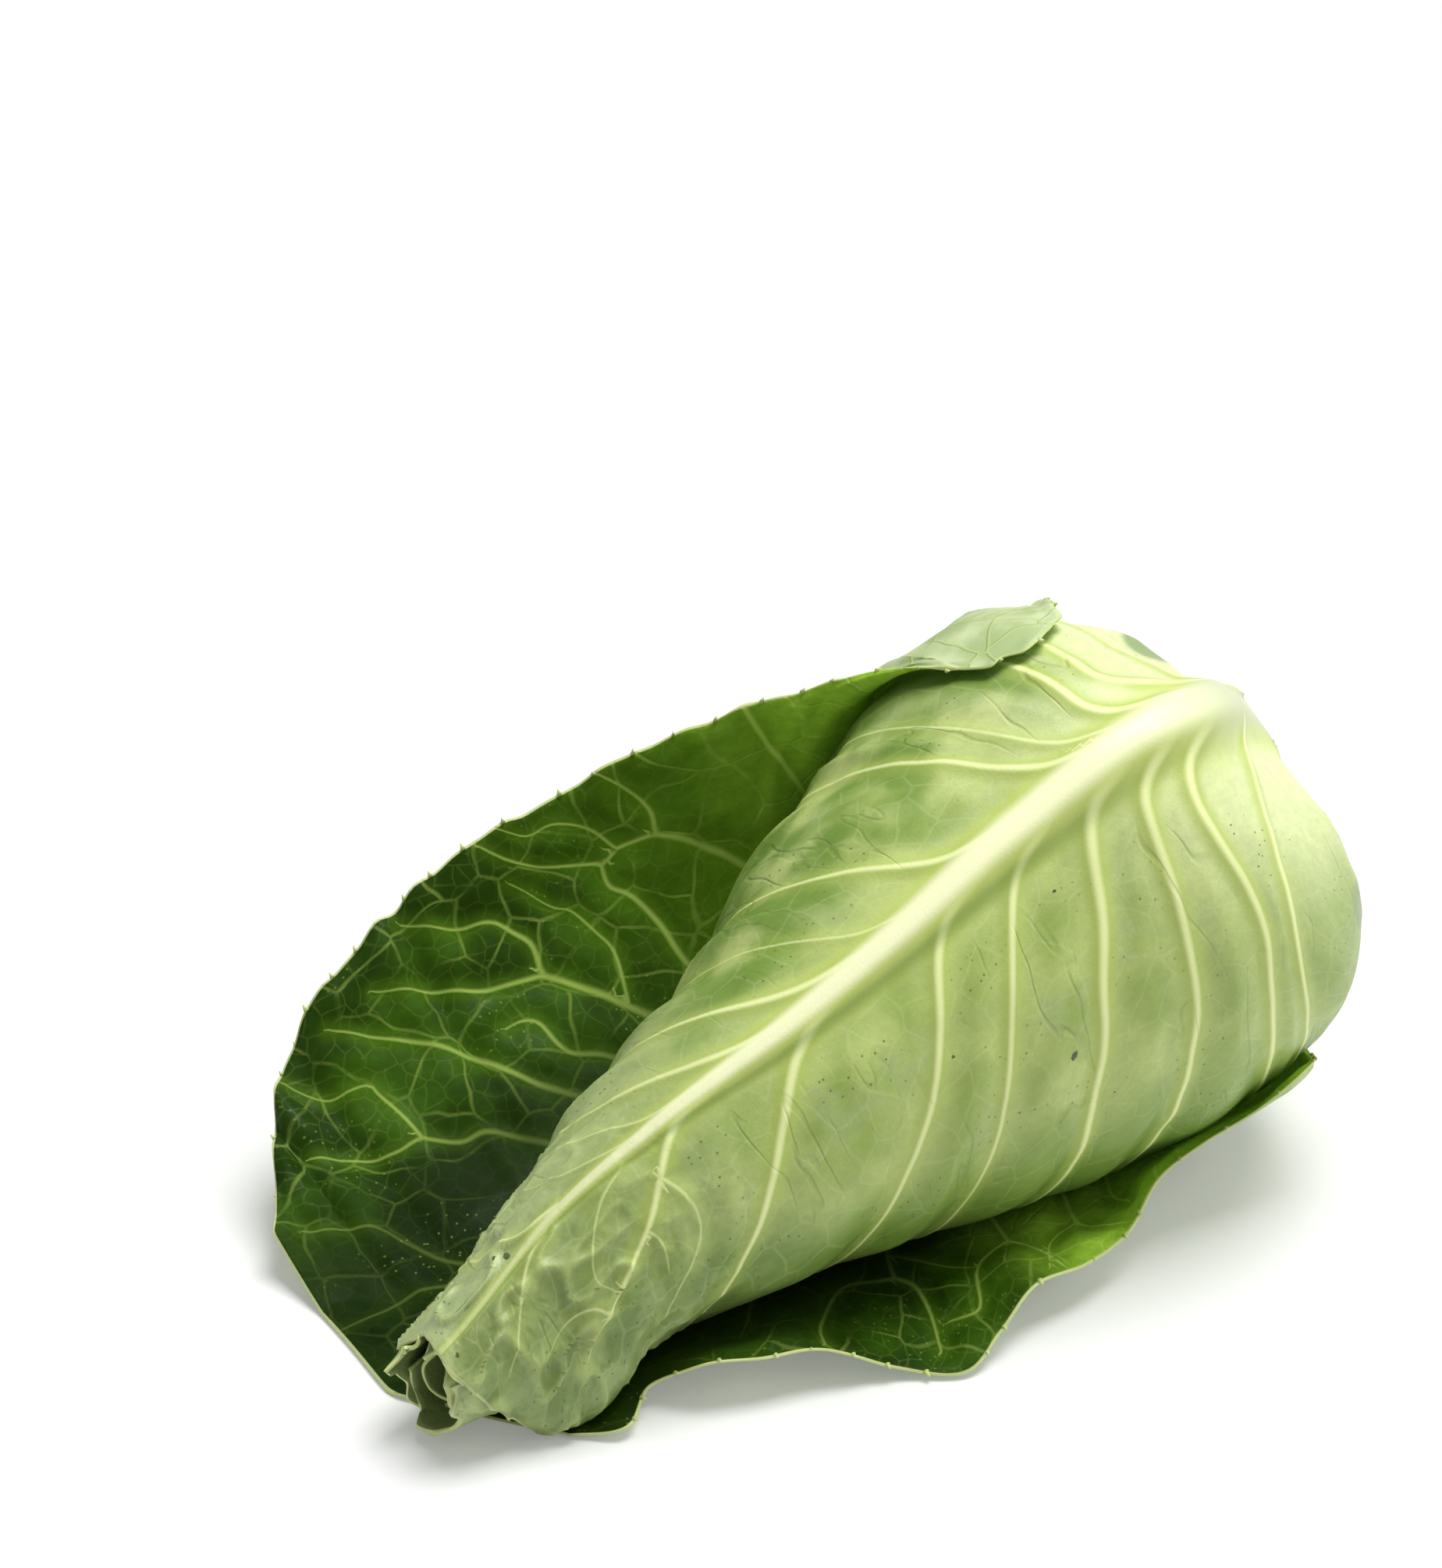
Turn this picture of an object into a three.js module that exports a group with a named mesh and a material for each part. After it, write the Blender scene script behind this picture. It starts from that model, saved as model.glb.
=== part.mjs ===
// A pointed (sweetheart) cabbage lying on its side, as cut and trimmed.
// Millimetres and degrees, +Z up. The tip points to -X, the cut stem to +X,
// and the floor is Z = 0. The packed head is a blunt dome at the stem end that
// runs into a long cone. Its wrapper leaves are separate shells, nested with a
// small gap, and the loose outer leaf is the cup that the head lies in.

import * as THREE from "three";

// Driving sizes of the head.
const HEAD_LENGTH = 246;
const AXIS_HEIGHT_AT_STEM = 80;
const AXIS_HEIGHT_AT_TIP = 17.5;
const DOME_RADIUS = 67;
const DOME_LENGTH = 72;
const DOME_ROUNDNESS = 2.3;
const CONE_RADIUS_AT_STEM = 78.5;
const CONE_SLOPE = 0.268;
const DOME_TO_CONE_BLEND = 16;

// The leaf ends at the tip form a mouth that sags towards the floor.
const MOUTH_START = 155;
const MOUTH_SAG = 5.5;
const MOUTH_DIRECTION = 140;

// The upper shoulder of the dome is lower than the rest of it.
const SHOULDER_DROP = 0.9;
const SHOULDER_DIRECTION = 30;
const SHOULDER_REACH = 74;

// Leaf blades and the space between them.
const BLADE = 1.5;
const LEAF_GAP = 1;
const LAYER = BLADE + LEAF_GAP;
const TIP_THINNING = 0.4;
const TIP_THINNING_START = 170;

// The stem is cut short, a little inside the end of the dome.
const STEM_RADIUS = 13.5;
const STEM_FACE = 6;
const STEM_LENGTH = 10;
const STEM_CLEARANCE = 0.7;

const DEGREE = Math.PI / 180;

// The head's own directions: along it to the tip, up across it, and its near side.
const drop = AXIS_HEIGHT_AT_STEM - AXIS_HEIGHT_AT_TIP;
const axisRun = Math.sqrt(HEAD_LENGTH ** 2 - drop ** 2);
const stemPole = new THREE.Vector3(axisRun / 2, 0, AXIS_HEIGHT_AT_STEM);
const alongHead = new THREE.Vector3(-axisRun, 0, -drop).normalize();
const nearSide = new THREE.Vector3(0, -1, 0);
const upAcross = new THREE.Vector3().crossVectors(alongHead, nearSide);

const { clamp, lerp, smoothstep } = THREE.MathUtils;

// A smooth curve through evenly spaced values, read at 0..1.
function curve(values, position) {
  const last = values.length - 1;
  const place = clamp(position, 0, 1) * last;
  const index = Math.min(Math.floor(place), last - 1);
  const start = values[index];
  const end = values[index + 1];
  const before = index > 0 ? values[index - 1] : 2 * start - end;
  const after = index + 2 <= last ? values[index + 2] : 2 * end - start;
  const leave = (end - before) / 2;
  const arrive = (after - start) / 2;
  const f = place - index;
  const square = f * f;
  const cube = square * f;
  return (2 * start - 2 * end + leave + arrive) * cube
    + (-3 * start + 3 * end - 2 * leave - arrive) * square + leave * f + start;
}

// The smaller of two values, with a rounded change from one to the other.
function softMin(a, b, blend) {
  const share = clamp(0.5 + (0.5 * (b - a)) / blend, 0, 1);
  return lerp(b, a, share) - blend * share * (1 - share);
}

// Radius of the packed head at a distance from the stem. Angles run round the
// head from straight up, positive towards the near side.
function headRadius(distance, angle = 90) {
  const facing = Math.max(0, Math.cos((angle - SHOULDER_DIRECTION) * DEGREE));
  const fade = Math.max(0, 1 - distance / SHOULDER_REACH);
  const s = Math.max(0, distance * (1 - SHOULDER_DROP * facing * fade));
  const inDome = clamp((DOME_LENGTH - s) / DOME_LENGTH, 0, 1);
  const dome = DOME_RADIUS * Math.sqrt(Math.max(0, 1 - inDome ** DOME_ROUNDNESS));
  const cone = CONE_RADIUS_AT_STEM - CONE_SLOPE * s;
  const sagFacing = Math.cos((angle - MOUTH_DIRECTION) * DEGREE);
  const sag = MOUTH_SAG * sagFacing * smoothstep(s, MOUTH_START, HEAD_LENGTH);
  return Math.max(0, softMin(dome, cone, DOME_TO_CONE_BLEND)) + sag;
}

// A point at a distance along the head, an angle round it and a radius from its axis.
function polarPoint(distance, angle, radius) {
  return stemPole.clone()
    .addScaledVector(alongHead, distance)
    .addScaledVector(upAcross, radius * Math.cos(angle * DEGREE))
    .addScaledVector(nearSide, radius * Math.sin(angle * DEGREE));
}

// A point on the head's surface, lifted off it along the surface's own normal.
function headPoint(distance, angle, lift) {
  const step = 0.4;
  const radius = headRadius(distance, angle);
  const from = Math.max(distance - step, 0);
  const slope = (headRadius(distance + step, angle) - headRadius(from, angle)) / (distance + step - from);
  const length = Math.hypot(1, slope);
  return polarPoint(distance - (lift * slope) / length, angle, radius + lift / length);
}

// Distance from the stem at which the head's surface, lifted off along its
// normal, stands clear of the stem.
function startDistance(angle, lift) {
  const radiusAt = (distance) => {
    const across = headPoint(distance, angle, lift).sub(stemPole);
    return Math.hypot(across.dot(upAcross), across.dot(nearSide));
  };
  let distance = 0.4;
  while (radiusAt(distance) < STEM_RADIUS + STEM_CLEARANCE) distance += 0.1;
  return distance;
}

// Layers thin out towards the tip, where the leaves are at their finest.
function tipScale(distance) {
  return 1 - TIP_THINNING * smoothstep(distance, TIP_THINNING_START, HEAD_LENGTH);
}

// A closed shell over a leaf's inner face. A leaf gives at(t, v), a point of
// its inner face, with t from stem to tip and v from one margin to the other,
// and thickness(t, v). Columns crowd towards the midrib at v = 0.
function leafGeometry(leaf) {
  const { rows, columns } = leaf;
  const crowding = 1.35;
  const inner = [];
  const outer = [];
  for (let row = 0; row <= rows; row += 1) {
    const t = (row / rows) ** leaf.rowCrowding;
    for (let column = 0; column <= columns; column += 1) {
      const across = (2 * column) / columns - 1;
      const v = Math.sign(across) * Math.abs(across) ** crowding;
      const point = leaf.at(t, v);
      const normal = leafNormal(leaf, t, v);
      const skin = point.clone().addScaledVector(normal, leaf.thickness(t, v));
      skin.z = Math.max(skin.z, 0);
      inner.push(point);
      outer.push(skin);
    }
  }
  return shellGeometry(inner, outer, rows, columns);
}

function leafNormal(leaf, t, v) {
  const step = 0.004;
  const t0 = Math.max(t - step, 0);
  const t1 = Math.min(t + step, 1);
  const v0 = Math.max(v - step, -1);
  const v1 = Math.min(v + step, 1);
  const alongLeaf = leaf.at(t1, v).sub(leaf.at(t0, v));
  const acrossLeaf = leaf.at(t, v1).sub(leaf.at(t, v0));
  return alongLeaf.cross(acrossLeaf).normalize().multiplyScalar(leaf.turn);
}

// Joins an inner and an outer grid of points into one closed body.
function shellGeometry(inner, outer, rows, columns) {
  const width = columns + 1;
  const offset = inner.length;
  const faces = [];
  const quad = (a, b, c, d) => faces.push(a, b, c, a, c, d);
  for (let row = 0; row < rows; row += 1) {
    for (let column = 0; column < columns; column += 1) {
      const a = row * width + column;
      quad(a, a + 1, a + width + 1, a + width);
      quad(offset + a, offset + a + width, offset + a + width + 1, offset + a + 1);
    }
  }
  for (let row = 0; row < rows; row += 1) {
    const a = row * width;
    quad(a, a + width, offset + a + width, offset + a);
    const b = a + columns;
    quad(b, offset + b, offset + b + width, b + width);
  }
  for (let column = 0; column < columns; column += 1) {
    quad(column, offset + column, offset + column + 1, column + 1);
    const b = rows * width + column;
    quad(b, b + 1, offset + b + 1, offset + b);
  }
  return closedGeometry([...inner, ...outer], faces);
}

// A closed geometry from points and faces, with its faces turned outwards.
function closedGeometry(points, faces) {
  let volume = 0;
  for (let i = 0; i < faces.length; i += 3) {
    const [a, b, c] = [points[faces[i]], points[faces[i + 1]], points[faces[i + 2]]];
    volume += a.clone().cross(b).dot(c);
  }
  const outward = volume > 0 ? faces : faces.slice().reverse();
  const geometry = new THREE.BufferGeometry();
  geometry.setFromPoints(points);
  geometry.setIndex(outward);
  geometry.computeVertexNormals();
  return geometry;
}

// A closed body round the head's axis: a first pole, rings that each give a
// point for an angle, and a last pole.
function ringedGeometry(firstPole, rings, lastPole, sides) {
  const points = [firstPole];
  const faces = [];
  for (const ring of rings) {
    for (let side = 0; side < sides; side += 1) points.push(ring((360 * side) / sides));
  }
  points.push(lastPole);
  const end = points.length - 1;
  for (let side = 0; side < sides; side += 1) {
    const next = (side + 1) % sides;
    faces.push(0, 1 + next, 1 + side);
    for (let ring = 0; ring < rings.length - 1; ring += 1) {
      const a = 1 + ring * sides;
      const b = a + sides;
      faces.push(a + side, a + next, b + next, a + side, b + next, b + side);
    }
    const lastRing = 1 + (rings.length - 1) * sides;
    faces.push(lastRing + side, lastRing + next, end);
  }
  return closedGeometry(points, faces);
}

// A leaf wrapped round the head. Its angles at its two margins and its midrib,
// its end distances and its rib heights are curves from stem to tip.
function wrappedLeaf(options) {
  const reach = (v) => (v < 0 ? lerp(options.end[1], options.end[0], -v) : lerp(options.end[1], options.end[2], v));
  const distanceAt = (t, v) => lerp(startDistance(angleAt(0, v), options.lift), reach(v), t);
  const angleAt = (t, v) => {
    const middle = curve(options.midrib, t);
    const margin = curve(v < 0 ? options.farMargin : options.nearMargin, t);
    return lerp(middle, margin, Math.abs(v));
  };
  return {
    rows: options.rows,
    columns: options.columns,
    rowCrowding: 1.3,
    turn: 1,
    at(t, v) {
      const distance = distanceAt(t, v);
      const angle = angleAt(t, v);
      const lift = options.lift * tipScale(distance) + options.flare(t, v);
      const point = headPoint(distance, angle, lift);
      point.z = Math.max(point.z, options.clearance);
      return point;
    },
    thickness(t, v) {
      const distance = distanceAt(t, v);
      const sideways = headRadius(distance) * Math.abs(angleAt(t, v) - curve(options.midrib, t)) * DEGREE;
      const rib = curve(options.ribHeight, t) * Math.exp(-((sideways / curve(options.ribWidth, t)) ** 2));
      return BLADE * tipScale(distance) + rib;
    },
  };
}

// Layer lifts, from the outermost wrapper leaf inwards.
const FRONT_LIFT = -0.3;
const REAR_LIFT = FRONT_LIFT - LAYER;
const UNDER_LIFT = REAR_LIFT - LAYER;
const SIDE_LIFT = UNDER_LIFT - LAYER;
const HEART_LIFT = SIDE_LIFT - LEAF_GAP - 0.5;

// The wrapper leaf seen from the near side, with the big white midrib. Its near
// margin leaves the head beside the tip and bows out to the floor.
const frontLeaf = wrappedLeaf({
  rows: 22,
  columns: 26,
  lift: FRONT_LIFT,
  end: [245, 248, 240],
  midrib: [16, 30, 29, 28, 28.5, 27, 21.5, 19, 42],
  farMargin: [-10, -62, -92, -100, -102, -102, -100, -92, -75],
  nearMargin: [95, 140, 162, 166, 166, 166, 164, 152, 146],
  ribHeight: [2.5, 7, 6.6, 5.2, 4, 3, 1.8, 0.9, 0.3],
  ribWidth: [9, 8.5, 8, 7, 6, 5, 3.6, 2.6, 2],
  clearance: 4.2,
  flare(t, v) {
    return 6 * smoothstep(t, 0.8, 0.92) * smoothstep(v, 0.55, 0.98);
  },
});

const rearLeaf = wrappedLeaf({
  rows: 15,
  columns: 16,
  lift: REAR_LIFT,
  end: [246, 249, 247],
  midrib: [-112, -112, -112, -112, -112, -108, -100],
  farMargin: [-165, -198, -205, -205, -205, -195, -180],
  nearMargin: [-60, -28, -12, -8, -8, -12, -20],
  ribHeight: [0, 0],
  ribWidth: [1, 1],
  clearance: 2.4,
  flare: () => 0,
});

const underLeaf = wrappedLeaf({
  rows: 15,
  columns: 16,
  lift: UNDER_LIFT,
  end: [248, 250, 248],
  midrib: [172, 172, 172, 170, 168, 165, 160],
  farMargin: [118, 88, 78, 74, 72, 72, 80],
  nearMargin: [225, 258, 268, 270, 266, 258, 240],
  ribHeight: [0, 0],
  ribWidth: [1, 1],
  clearance: 2.4,
  flare: () => 0,
});

const sideLeaf = wrappedLeaf({
  rows: 15,
  columns: 16,
  lift: SIDE_LIFT,
  end: [247, 250, 248],
  midrib: [108, 108, 106, 102, 98, 90, 80],
  farMargin: [56, 26, 14, 8, 2, -10, -25],
  nearMargin: [160, 190, 200, 202, 200, 190, 178],
  ribHeight: [0, 0],
  ribWidth: [1, 1],
  clearance: 2.4,
  flare: () => 0,
});

// The loose outer leaf, a cup open to the near side. It clasps the dome, folds
// over the top of it, and flares away from the cone. Each row of the margin
// tables is one station from stem to tip; angles run from straight down,
// positive to the far side.
const outerMargin = {
  far: {
    distance: [3, 12, 26, 44, 64, 80, 108, 143, 178, 212, 239],
    angle: [70, 95, 130, 172, 166, 132, 117, 108, 102, 93, 82],
    radius: [16, 37, 54, 61, 64, 71, 86, 98, 102, 95, 66],
  },
  near: {
    distance: [3, 12, 27, 48, 72, 97, 121, 152, 171, 194, 222],
    angle: [-20, -32, -40, -38, -36, -42, -46, -62, -58, -50, -36],
    radius: [16, 44, 63, 66, 65, 67, 67, 71, 60, 42, 30],
  },
  midrib: {
    distance: [3, 14, 32, 56, 82, 110, 138, 166, 194, 222, 250],
    angle: [27, 27, 27, 27, 27, 27, 27, 28, 30, 34, 40],
  },
};
const OUTER_HUG_END = 215;
const OUTER_LIFT = FRONT_LIFT + BLADE + LEAF_GAP + 1.2;
const FAR_CONTACT_ANGLE = 32;
const NEAR_CONTACT_ANGLE = -12;
const FAR_CUP_POWER = 1.7;
const NEAR_CUP_POWER = 2.3;

const outerLeaf = {
  rows: 24,
  columns: 28,
  rowCrowding: 1.0,
  turn: 1,
  at(t, v) {
    const { far, near, midrib } = outerMargin;
    const side = v < 0 ? near : far;
    const distance = lerp(curve(midrib.distance, t), curve(side.distance, t), Math.abs(v) ** 1.5);
    const farAngle = curve(far.angle, t);
    const nearAngle = curve(near.angle, t);
    const angle = lerp(curve(midrib.angle, t), curve(side.angle, t), Math.abs(v));
    const onHead = Math.min(distance, OUTER_HUG_END);
    const hug = headPoint(onHead, angle + 180, OUTER_LIFT);
    const toFar = clamp((angle - FAR_CONTACT_ANGLE) / (farAngle - FAR_CONTACT_ANGLE), 0, 1);
    const toNear = clamp((angle - NEAR_CONTACT_ANGLE) / (nearAngle - NEAR_CONTACT_ANGLE), 0, 1);
    const base = headRadius(onHead, angle + 180) + OUTER_LIFT;
    const farFlare = Math.max(curve(far.radius, t) - base, 0) * toFar ** FAR_CUP_POWER;
    const nearFlare = Math.max(curve(near.radius, t) - base, 0) * toNear ** NEAR_CUP_POWER;
    const away = polarPoint(0, angle + 180, 1).sub(stemPole);
    const point = hug.addScaledVector(away, farFlare + nearFlare);
    point.addScaledVector(alongHead, distance - onHead);
    point.z = Math.max(point.z, 1.2);
    return point;
  },
  thickness(t, v) {
    const height = curve([4, 6.5, 7, 6.5, 6, 5, 4, 3, 2, 1], t);
    const width = curve([0.14, 0.12, 0.1, 0.09, 0.08, 0.07, 0.06, 0.05, 0.05, 0.04], t);
    return BLADE + height * Math.exp(-((v / width) ** 2));
  },
};

// The packed inner leaves, taken as one body, with a socket for the stem and a
// narrow nose inside the tip.
const HEART_RINGS = 14;
const HEART_SHOULDER = 188;
const HEART_NOSE_RINGS = [[198, 14], [208, 8], [218, 4.5]];
const HEART_NOSE = 226;
const HEART_SIDES = 28;

function heartGeometry() {
  const socketEnd = STEM_FACE + STEM_LENGTH + 0.4;
  const socketRadius = STEM_RADIUS + STEM_CLEARANCE - 0.2;
  const rings = [(angle) => polarPoint(socketEnd, angle, socketRadius)];
  for (let ring = 0; ring < HEART_RINGS; ring += 1) {
    const share = (ring / (HEART_RINGS - 1)) ** 1.6;
    rings.push((angle) => {
      const distance = lerp(startDistance(angle, HEART_LIFT), HEART_SHOULDER, share);
      return headPoint(distance, angle, HEART_LIFT);
    });
  }
  for (const [distance, radius] of HEART_NOSE_RINGS) {
    rings.push((angle) => polarPoint(distance, angle, radius + headRadius(distance, angle) - headRadius(distance)));
  }
  return ringedGeometry(polarPoint(socketEnd, 0, 0), rings, polarPoint(HEART_NOSE, 0, 0), HEART_SIDES);
}

// The cut stem, from its flat cut face to the bottom of its socket.
const STEM_END = STEM_FACE + STEM_LENGTH;
const STEM_RINGS = [
  [STEM_FACE, STEM_RADIUS - 1.2],
  [STEM_FACE + 0.8, STEM_RADIUS - 0.2],
  [STEM_END, STEM_RADIUS - 0.8],
];

function stemGeometry() {
  const rings = STEM_RINGS.map(([distance, radius]) => (angle) => polarPoint(distance, angle, radius));
  return ringedGeometry(polarPoint(STEM_FACE, 0, 0), rings, polarPoint(STEM_END, 0, 0), 24);
}

// The innermost leaf end, rolled into a scroll that shows in the mouth of the tip.
const SCROLL_TURN = 310;
const SCROLL_STEP = 2.2;
const scrollLeaf = {
  rows: 10,
  columns: 18,
  rowCrowding: 1.0,
  turn: 1,
  at(t, v) {
    const share = (v + 1) / 2;
    const distance = lerp(205, 244 - 4 * v * v, t);
    const angle = 40 + SCROLL_TURN * share;
    const room = headRadius(distance, angle) + SIDE_LIFT * tipScale(distance);
    return polarPoint(distance, angle, room - 1.6 - SCROLL_STEP * share);
  },
  thickness: () => 0.8,
};

// A shred of a trimmed leaf left on the rim of the cut stem.
const SHRED_ANGLE = 46;
const shredLeaf = {
  rows: 4,
  columns: 4,
  rowCrowding: 1.0,
  turn: 1,
  at(t, v) {
    const width = 13 * (1 - 0.6 * t * t);
    return polarPoint(STEM_FACE - 0.4 - 3.5 * t, SHRED_ANGLE + v * width, STEM_RADIUS - 1.6 + 2 * t * t);
  },
  thickness: () => 0.9,
};

function piece(name, geometry, colour, roughness) {
  const material = new THREE.MeshStandardMaterial({ color: colour, roughness, metalness: 0 });
  material.side = THREE.FrontSide;
  const mesh = new THREE.Mesh(geometry, material);
  mesh.name = name;
  return mesh;
}

const cabbage = new THREE.Group();
cabbage.add(
  piece("stem", stemGeometry(), 0xe3e6c4, 0.7),
  piece("heart", heartGeometry(), 0xd8e2a6, 0.6),
  piece("side_leaf", leafGeometry(sideLeaf), 0xc2d096, 0.55),
  piece("under_leaf", leafGeometry(underLeaf), 0xb4c48a, 0.55),
  piece("rear_leaf", leafGeometry(rearLeaf), 0xa9bb80, 0.55),
  piece("front_leaf", leafGeometry(frontLeaf), 0xb9c88c, 0.5),
  piece("outer_leaf", leafGeometry(outerLeaf), 0x3c6419, 0.45),
  piece("scroll_leaf", leafGeometry(scrollLeaf), 0x9fb077, 0.55),
  piece("leaf_shred", leafGeometry(shredLeaf), 0x4c7a2c, 0.6),
);

// The origin is under the middle of the whole cabbage, on the floor.
const box = new THREE.Box3().setFromObject(cabbage);
const middle = box.getCenter(new THREE.Vector3());
cabbage.position.set(-middle.x, -middle.y, -box.min.z);

export default cabbage;
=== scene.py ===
"""A pointed cabbage that lies on its side in its one loose outer leaf.

The head's surface is a formula of the distance from the cut stem and the angle
round the head. Each leaf is a fine grid laid on that surface, with its midrib,
side veins and puckers as real relief, and then given its thickness.
"""

import math

import bmesh
import bpy
import numpy as np
from mathutils import Matrix, Vector


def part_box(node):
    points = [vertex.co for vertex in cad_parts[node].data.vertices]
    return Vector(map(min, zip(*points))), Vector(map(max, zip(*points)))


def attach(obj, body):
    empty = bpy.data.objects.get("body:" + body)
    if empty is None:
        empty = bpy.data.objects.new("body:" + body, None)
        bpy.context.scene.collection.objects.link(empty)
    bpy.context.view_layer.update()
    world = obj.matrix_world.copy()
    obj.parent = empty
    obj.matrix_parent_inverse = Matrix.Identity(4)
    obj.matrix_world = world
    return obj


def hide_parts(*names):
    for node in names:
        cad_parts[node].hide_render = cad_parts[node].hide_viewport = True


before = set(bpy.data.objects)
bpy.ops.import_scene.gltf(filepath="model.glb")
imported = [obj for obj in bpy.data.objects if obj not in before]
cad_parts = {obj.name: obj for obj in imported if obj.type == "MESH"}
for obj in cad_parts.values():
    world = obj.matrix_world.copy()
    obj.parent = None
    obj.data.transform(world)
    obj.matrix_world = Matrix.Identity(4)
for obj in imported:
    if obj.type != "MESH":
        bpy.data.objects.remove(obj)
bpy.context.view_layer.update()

bl_info = {
    "name": "Pointed cabbage",
    "version": (1, 0, 0),
    "blender": (4, 5, 0),
    "location": "View3D > Sidebar > Cabbage",
    "description": "Builds the leaves, stem and setting of a pointed cabbage",
    "category": "Object",
}

MM = 0.001


# ---------------------------------------------------------------- sizes of the head, in millimetres

HEAD_LENGTH = 246
AXIS_HEIGHT_AT_STEM = 80
AXIS_HEIGHT_AT_TIP = 17.5
DOME_RADIUS = 67
DOME_LENGTH = 72
DOME_ROUNDNESS = 2.3
CONE_RADIUS_AT_STEM = 78.5
CONE_SLOPE = 0.268
DOME_TO_CONE_BLEND = 16

# The tip opens a little to one side, as a mouth.
MOUTH_START = 155
MOUTH_SAG = 5.5
MOUTH_DIRECTION = 140

# The shoulder over the stem falls away steeply in one direction.
SHOULDER_DROP = 0.9
SHOULDER_DIRECTION = 30
SHOULDER_REACH = 90

BLADE = 1.5
LEAF_GAP = 1
LAYER = BLADE + LEAF_GAP
SMALL_BLADE = 0.8
SMALL_LOWEST = 1
TIP_THINNING = 0.4
TIP_THINNING_START = 170

STEM_RADIUS = 13.5
STEM_FACE = 6
STEM_LENGTH = 10
STEM_CLEARANCE = 0.7

# The first, the last and the step of the distances that are tried for a leaf's start.
START_STEPS = (0.4, 60, 0.1)

# How far each ring of the stem's cut lies inside the last one, and how far it stands out.
CUT_RINGS = [(0.9, 0.5), (1.1, 0.1), (1.2, -0.35), (1.0, 0.3), (1.6, -0.2), (2.4, -0.25), (2.2, 0.1)]
CUT_ROUGHNESS = 0.3

# The head's own directions: along it to the tip, up across it, and its near side.
DROP = AXIS_HEIGHT_AT_STEM - AXIS_HEIGHT_AT_TIP
ALONG_HEAD = Vector((-math.sqrt(HEAD_LENGTH ** 2 - DROP ** 2), 0, -DROP)) / HEAD_LENGTH
NEAR_SIDE = Vector((0, -1, 0))
UP_ACROSS = ALONG_HEAD.cross(NEAR_SIDE)


def stem_pole():
    """The point on the head's axis where its distances start, from the CAD stem."""
    low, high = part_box("stem")
    centre = (low + high) / 2 / MM
    return centre - ALONG_HEAD * (STEM_FACE + STEM_LENGTH / 2)


STEM_POLE = stem_pole()


# ---------------------------------------------------------------- the head's surface

def smoothstep(value, start, end):
    """A share that grows smoothly from 0 to 1 as a value goes from start to end."""
    share = np.clip((value - start) / (end - start), 0, 1)
    return share * share * (3 - 2 * share)


def blend(a, b, share):
    """The value at a share of the way from one to another."""
    return a + (b - a) * share


def curve(values, position):
    """A smooth curve through evenly spaced values, read at 0 to 1."""
    values = np.asarray(values, float)
    last = len(values) - 1
    place = np.clip(position, 0, 1) * last
    index = np.minimum(np.floor(place).astype(int), last - 1)
    start = values[index]
    end = values[index + 1]
    before = np.where(index > 0, values[np.maximum(index - 1, 0)], 2 * start - end)
    after = np.where(index + 2 <= last, values[np.minimum(index + 2, last)], 2 * end - start)
    leave = (end - before) / 2
    arrive = (after - start) / 2
    f = place - index
    return ((2 * start - 2 * end + leave + arrive) * f ** 3
            + (-3 * start + 3 * end - 2 * leave - arrive) * f ** 2 + leave * f + start)


def soft_min(a, b, width):
    """The smaller of two values, with a rounded change from one to the other."""
    share = np.clip(0.5 + 0.5 * (b - a) / width, 0, 1)
    return blend(b, a, share) - width * share * (1 - share)


def cosine(degrees):
    return np.cos(np.radians(degrees))


def sine(degrees):
    return np.sin(np.radians(degrees))


# Where the head is fuller or flatter than its plain form: distance and angle of the
# middle, reach along and round the head, and height in millimetres.
FULLNESS = [
    (150, -60, 52, 70, -5.5),
    (190, 137, 70, 48, -2.8),
    (95, 138, 45, 40, 1.5),
    (12, 102, 20, 45, 4.5),
    (2.5, 98, 7, 42, -10),
    (17, -22, 12, 17, 2.5),
    (9, -42, 11, 16, -8),
    (10, -27, 6, 17, -12),
    (4, -5, 5, 12, 3),
    (13.5, -17, 4.5, 16, -8),
    (9, 78, 6, 27, -6),
]


def fullness(distance, angle):
    """How far the head is fuller than its plain form, in millimetres."""
    total = 0 * distance
    for middle, facing, reach, spread, height in FULLNESS:
        turn = (angle - facing + 180) % 360 - 180
        total = total + height * np.exp(-2 * ((distance - middle) / reach) ** 2 - 2 * (turn / spread) ** 2)
    return total


def head_radius(distance, angle):
    """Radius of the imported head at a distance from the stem. Angles run round it
    from straight up, positive towards the near side."""
    facing = np.maximum(0, cosine(angle - SHOULDER_DIRECTION))
    reach = np.minimum(1, distance / SHOULDER_REACH)
    fade = (1 - reach) ** 2 * (1 + reach)
    s = np.maximum(0, distance * (1 - SHOULDER_DROP * facing * fade))
    in_dome = np.clip((DOME_LENGTH - s) / DOME_LENGTH, 0, 1)
    dome = DOME_RADIUS * np.sqrt(np.maximum(0, 1 - in_dome ** DOME_ROUNDNESS))
    cone = CONE_RADIUS_AT_STEM - CONE_SLOPE * s
    sag = MOUTH_SAG * cosine(angle - MOUTH_DIRECTION) * smoothstep(s, MOUTH_START, HEAD_LENGTH)
    radius = np.maximum(0, soft_min(dome, cone, DOME_TO_CONE_BLEND)) + sag
    return np.maximum(0, radius + fullness(distance, angle) * smoothstep(distance, 0, 4))


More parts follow.
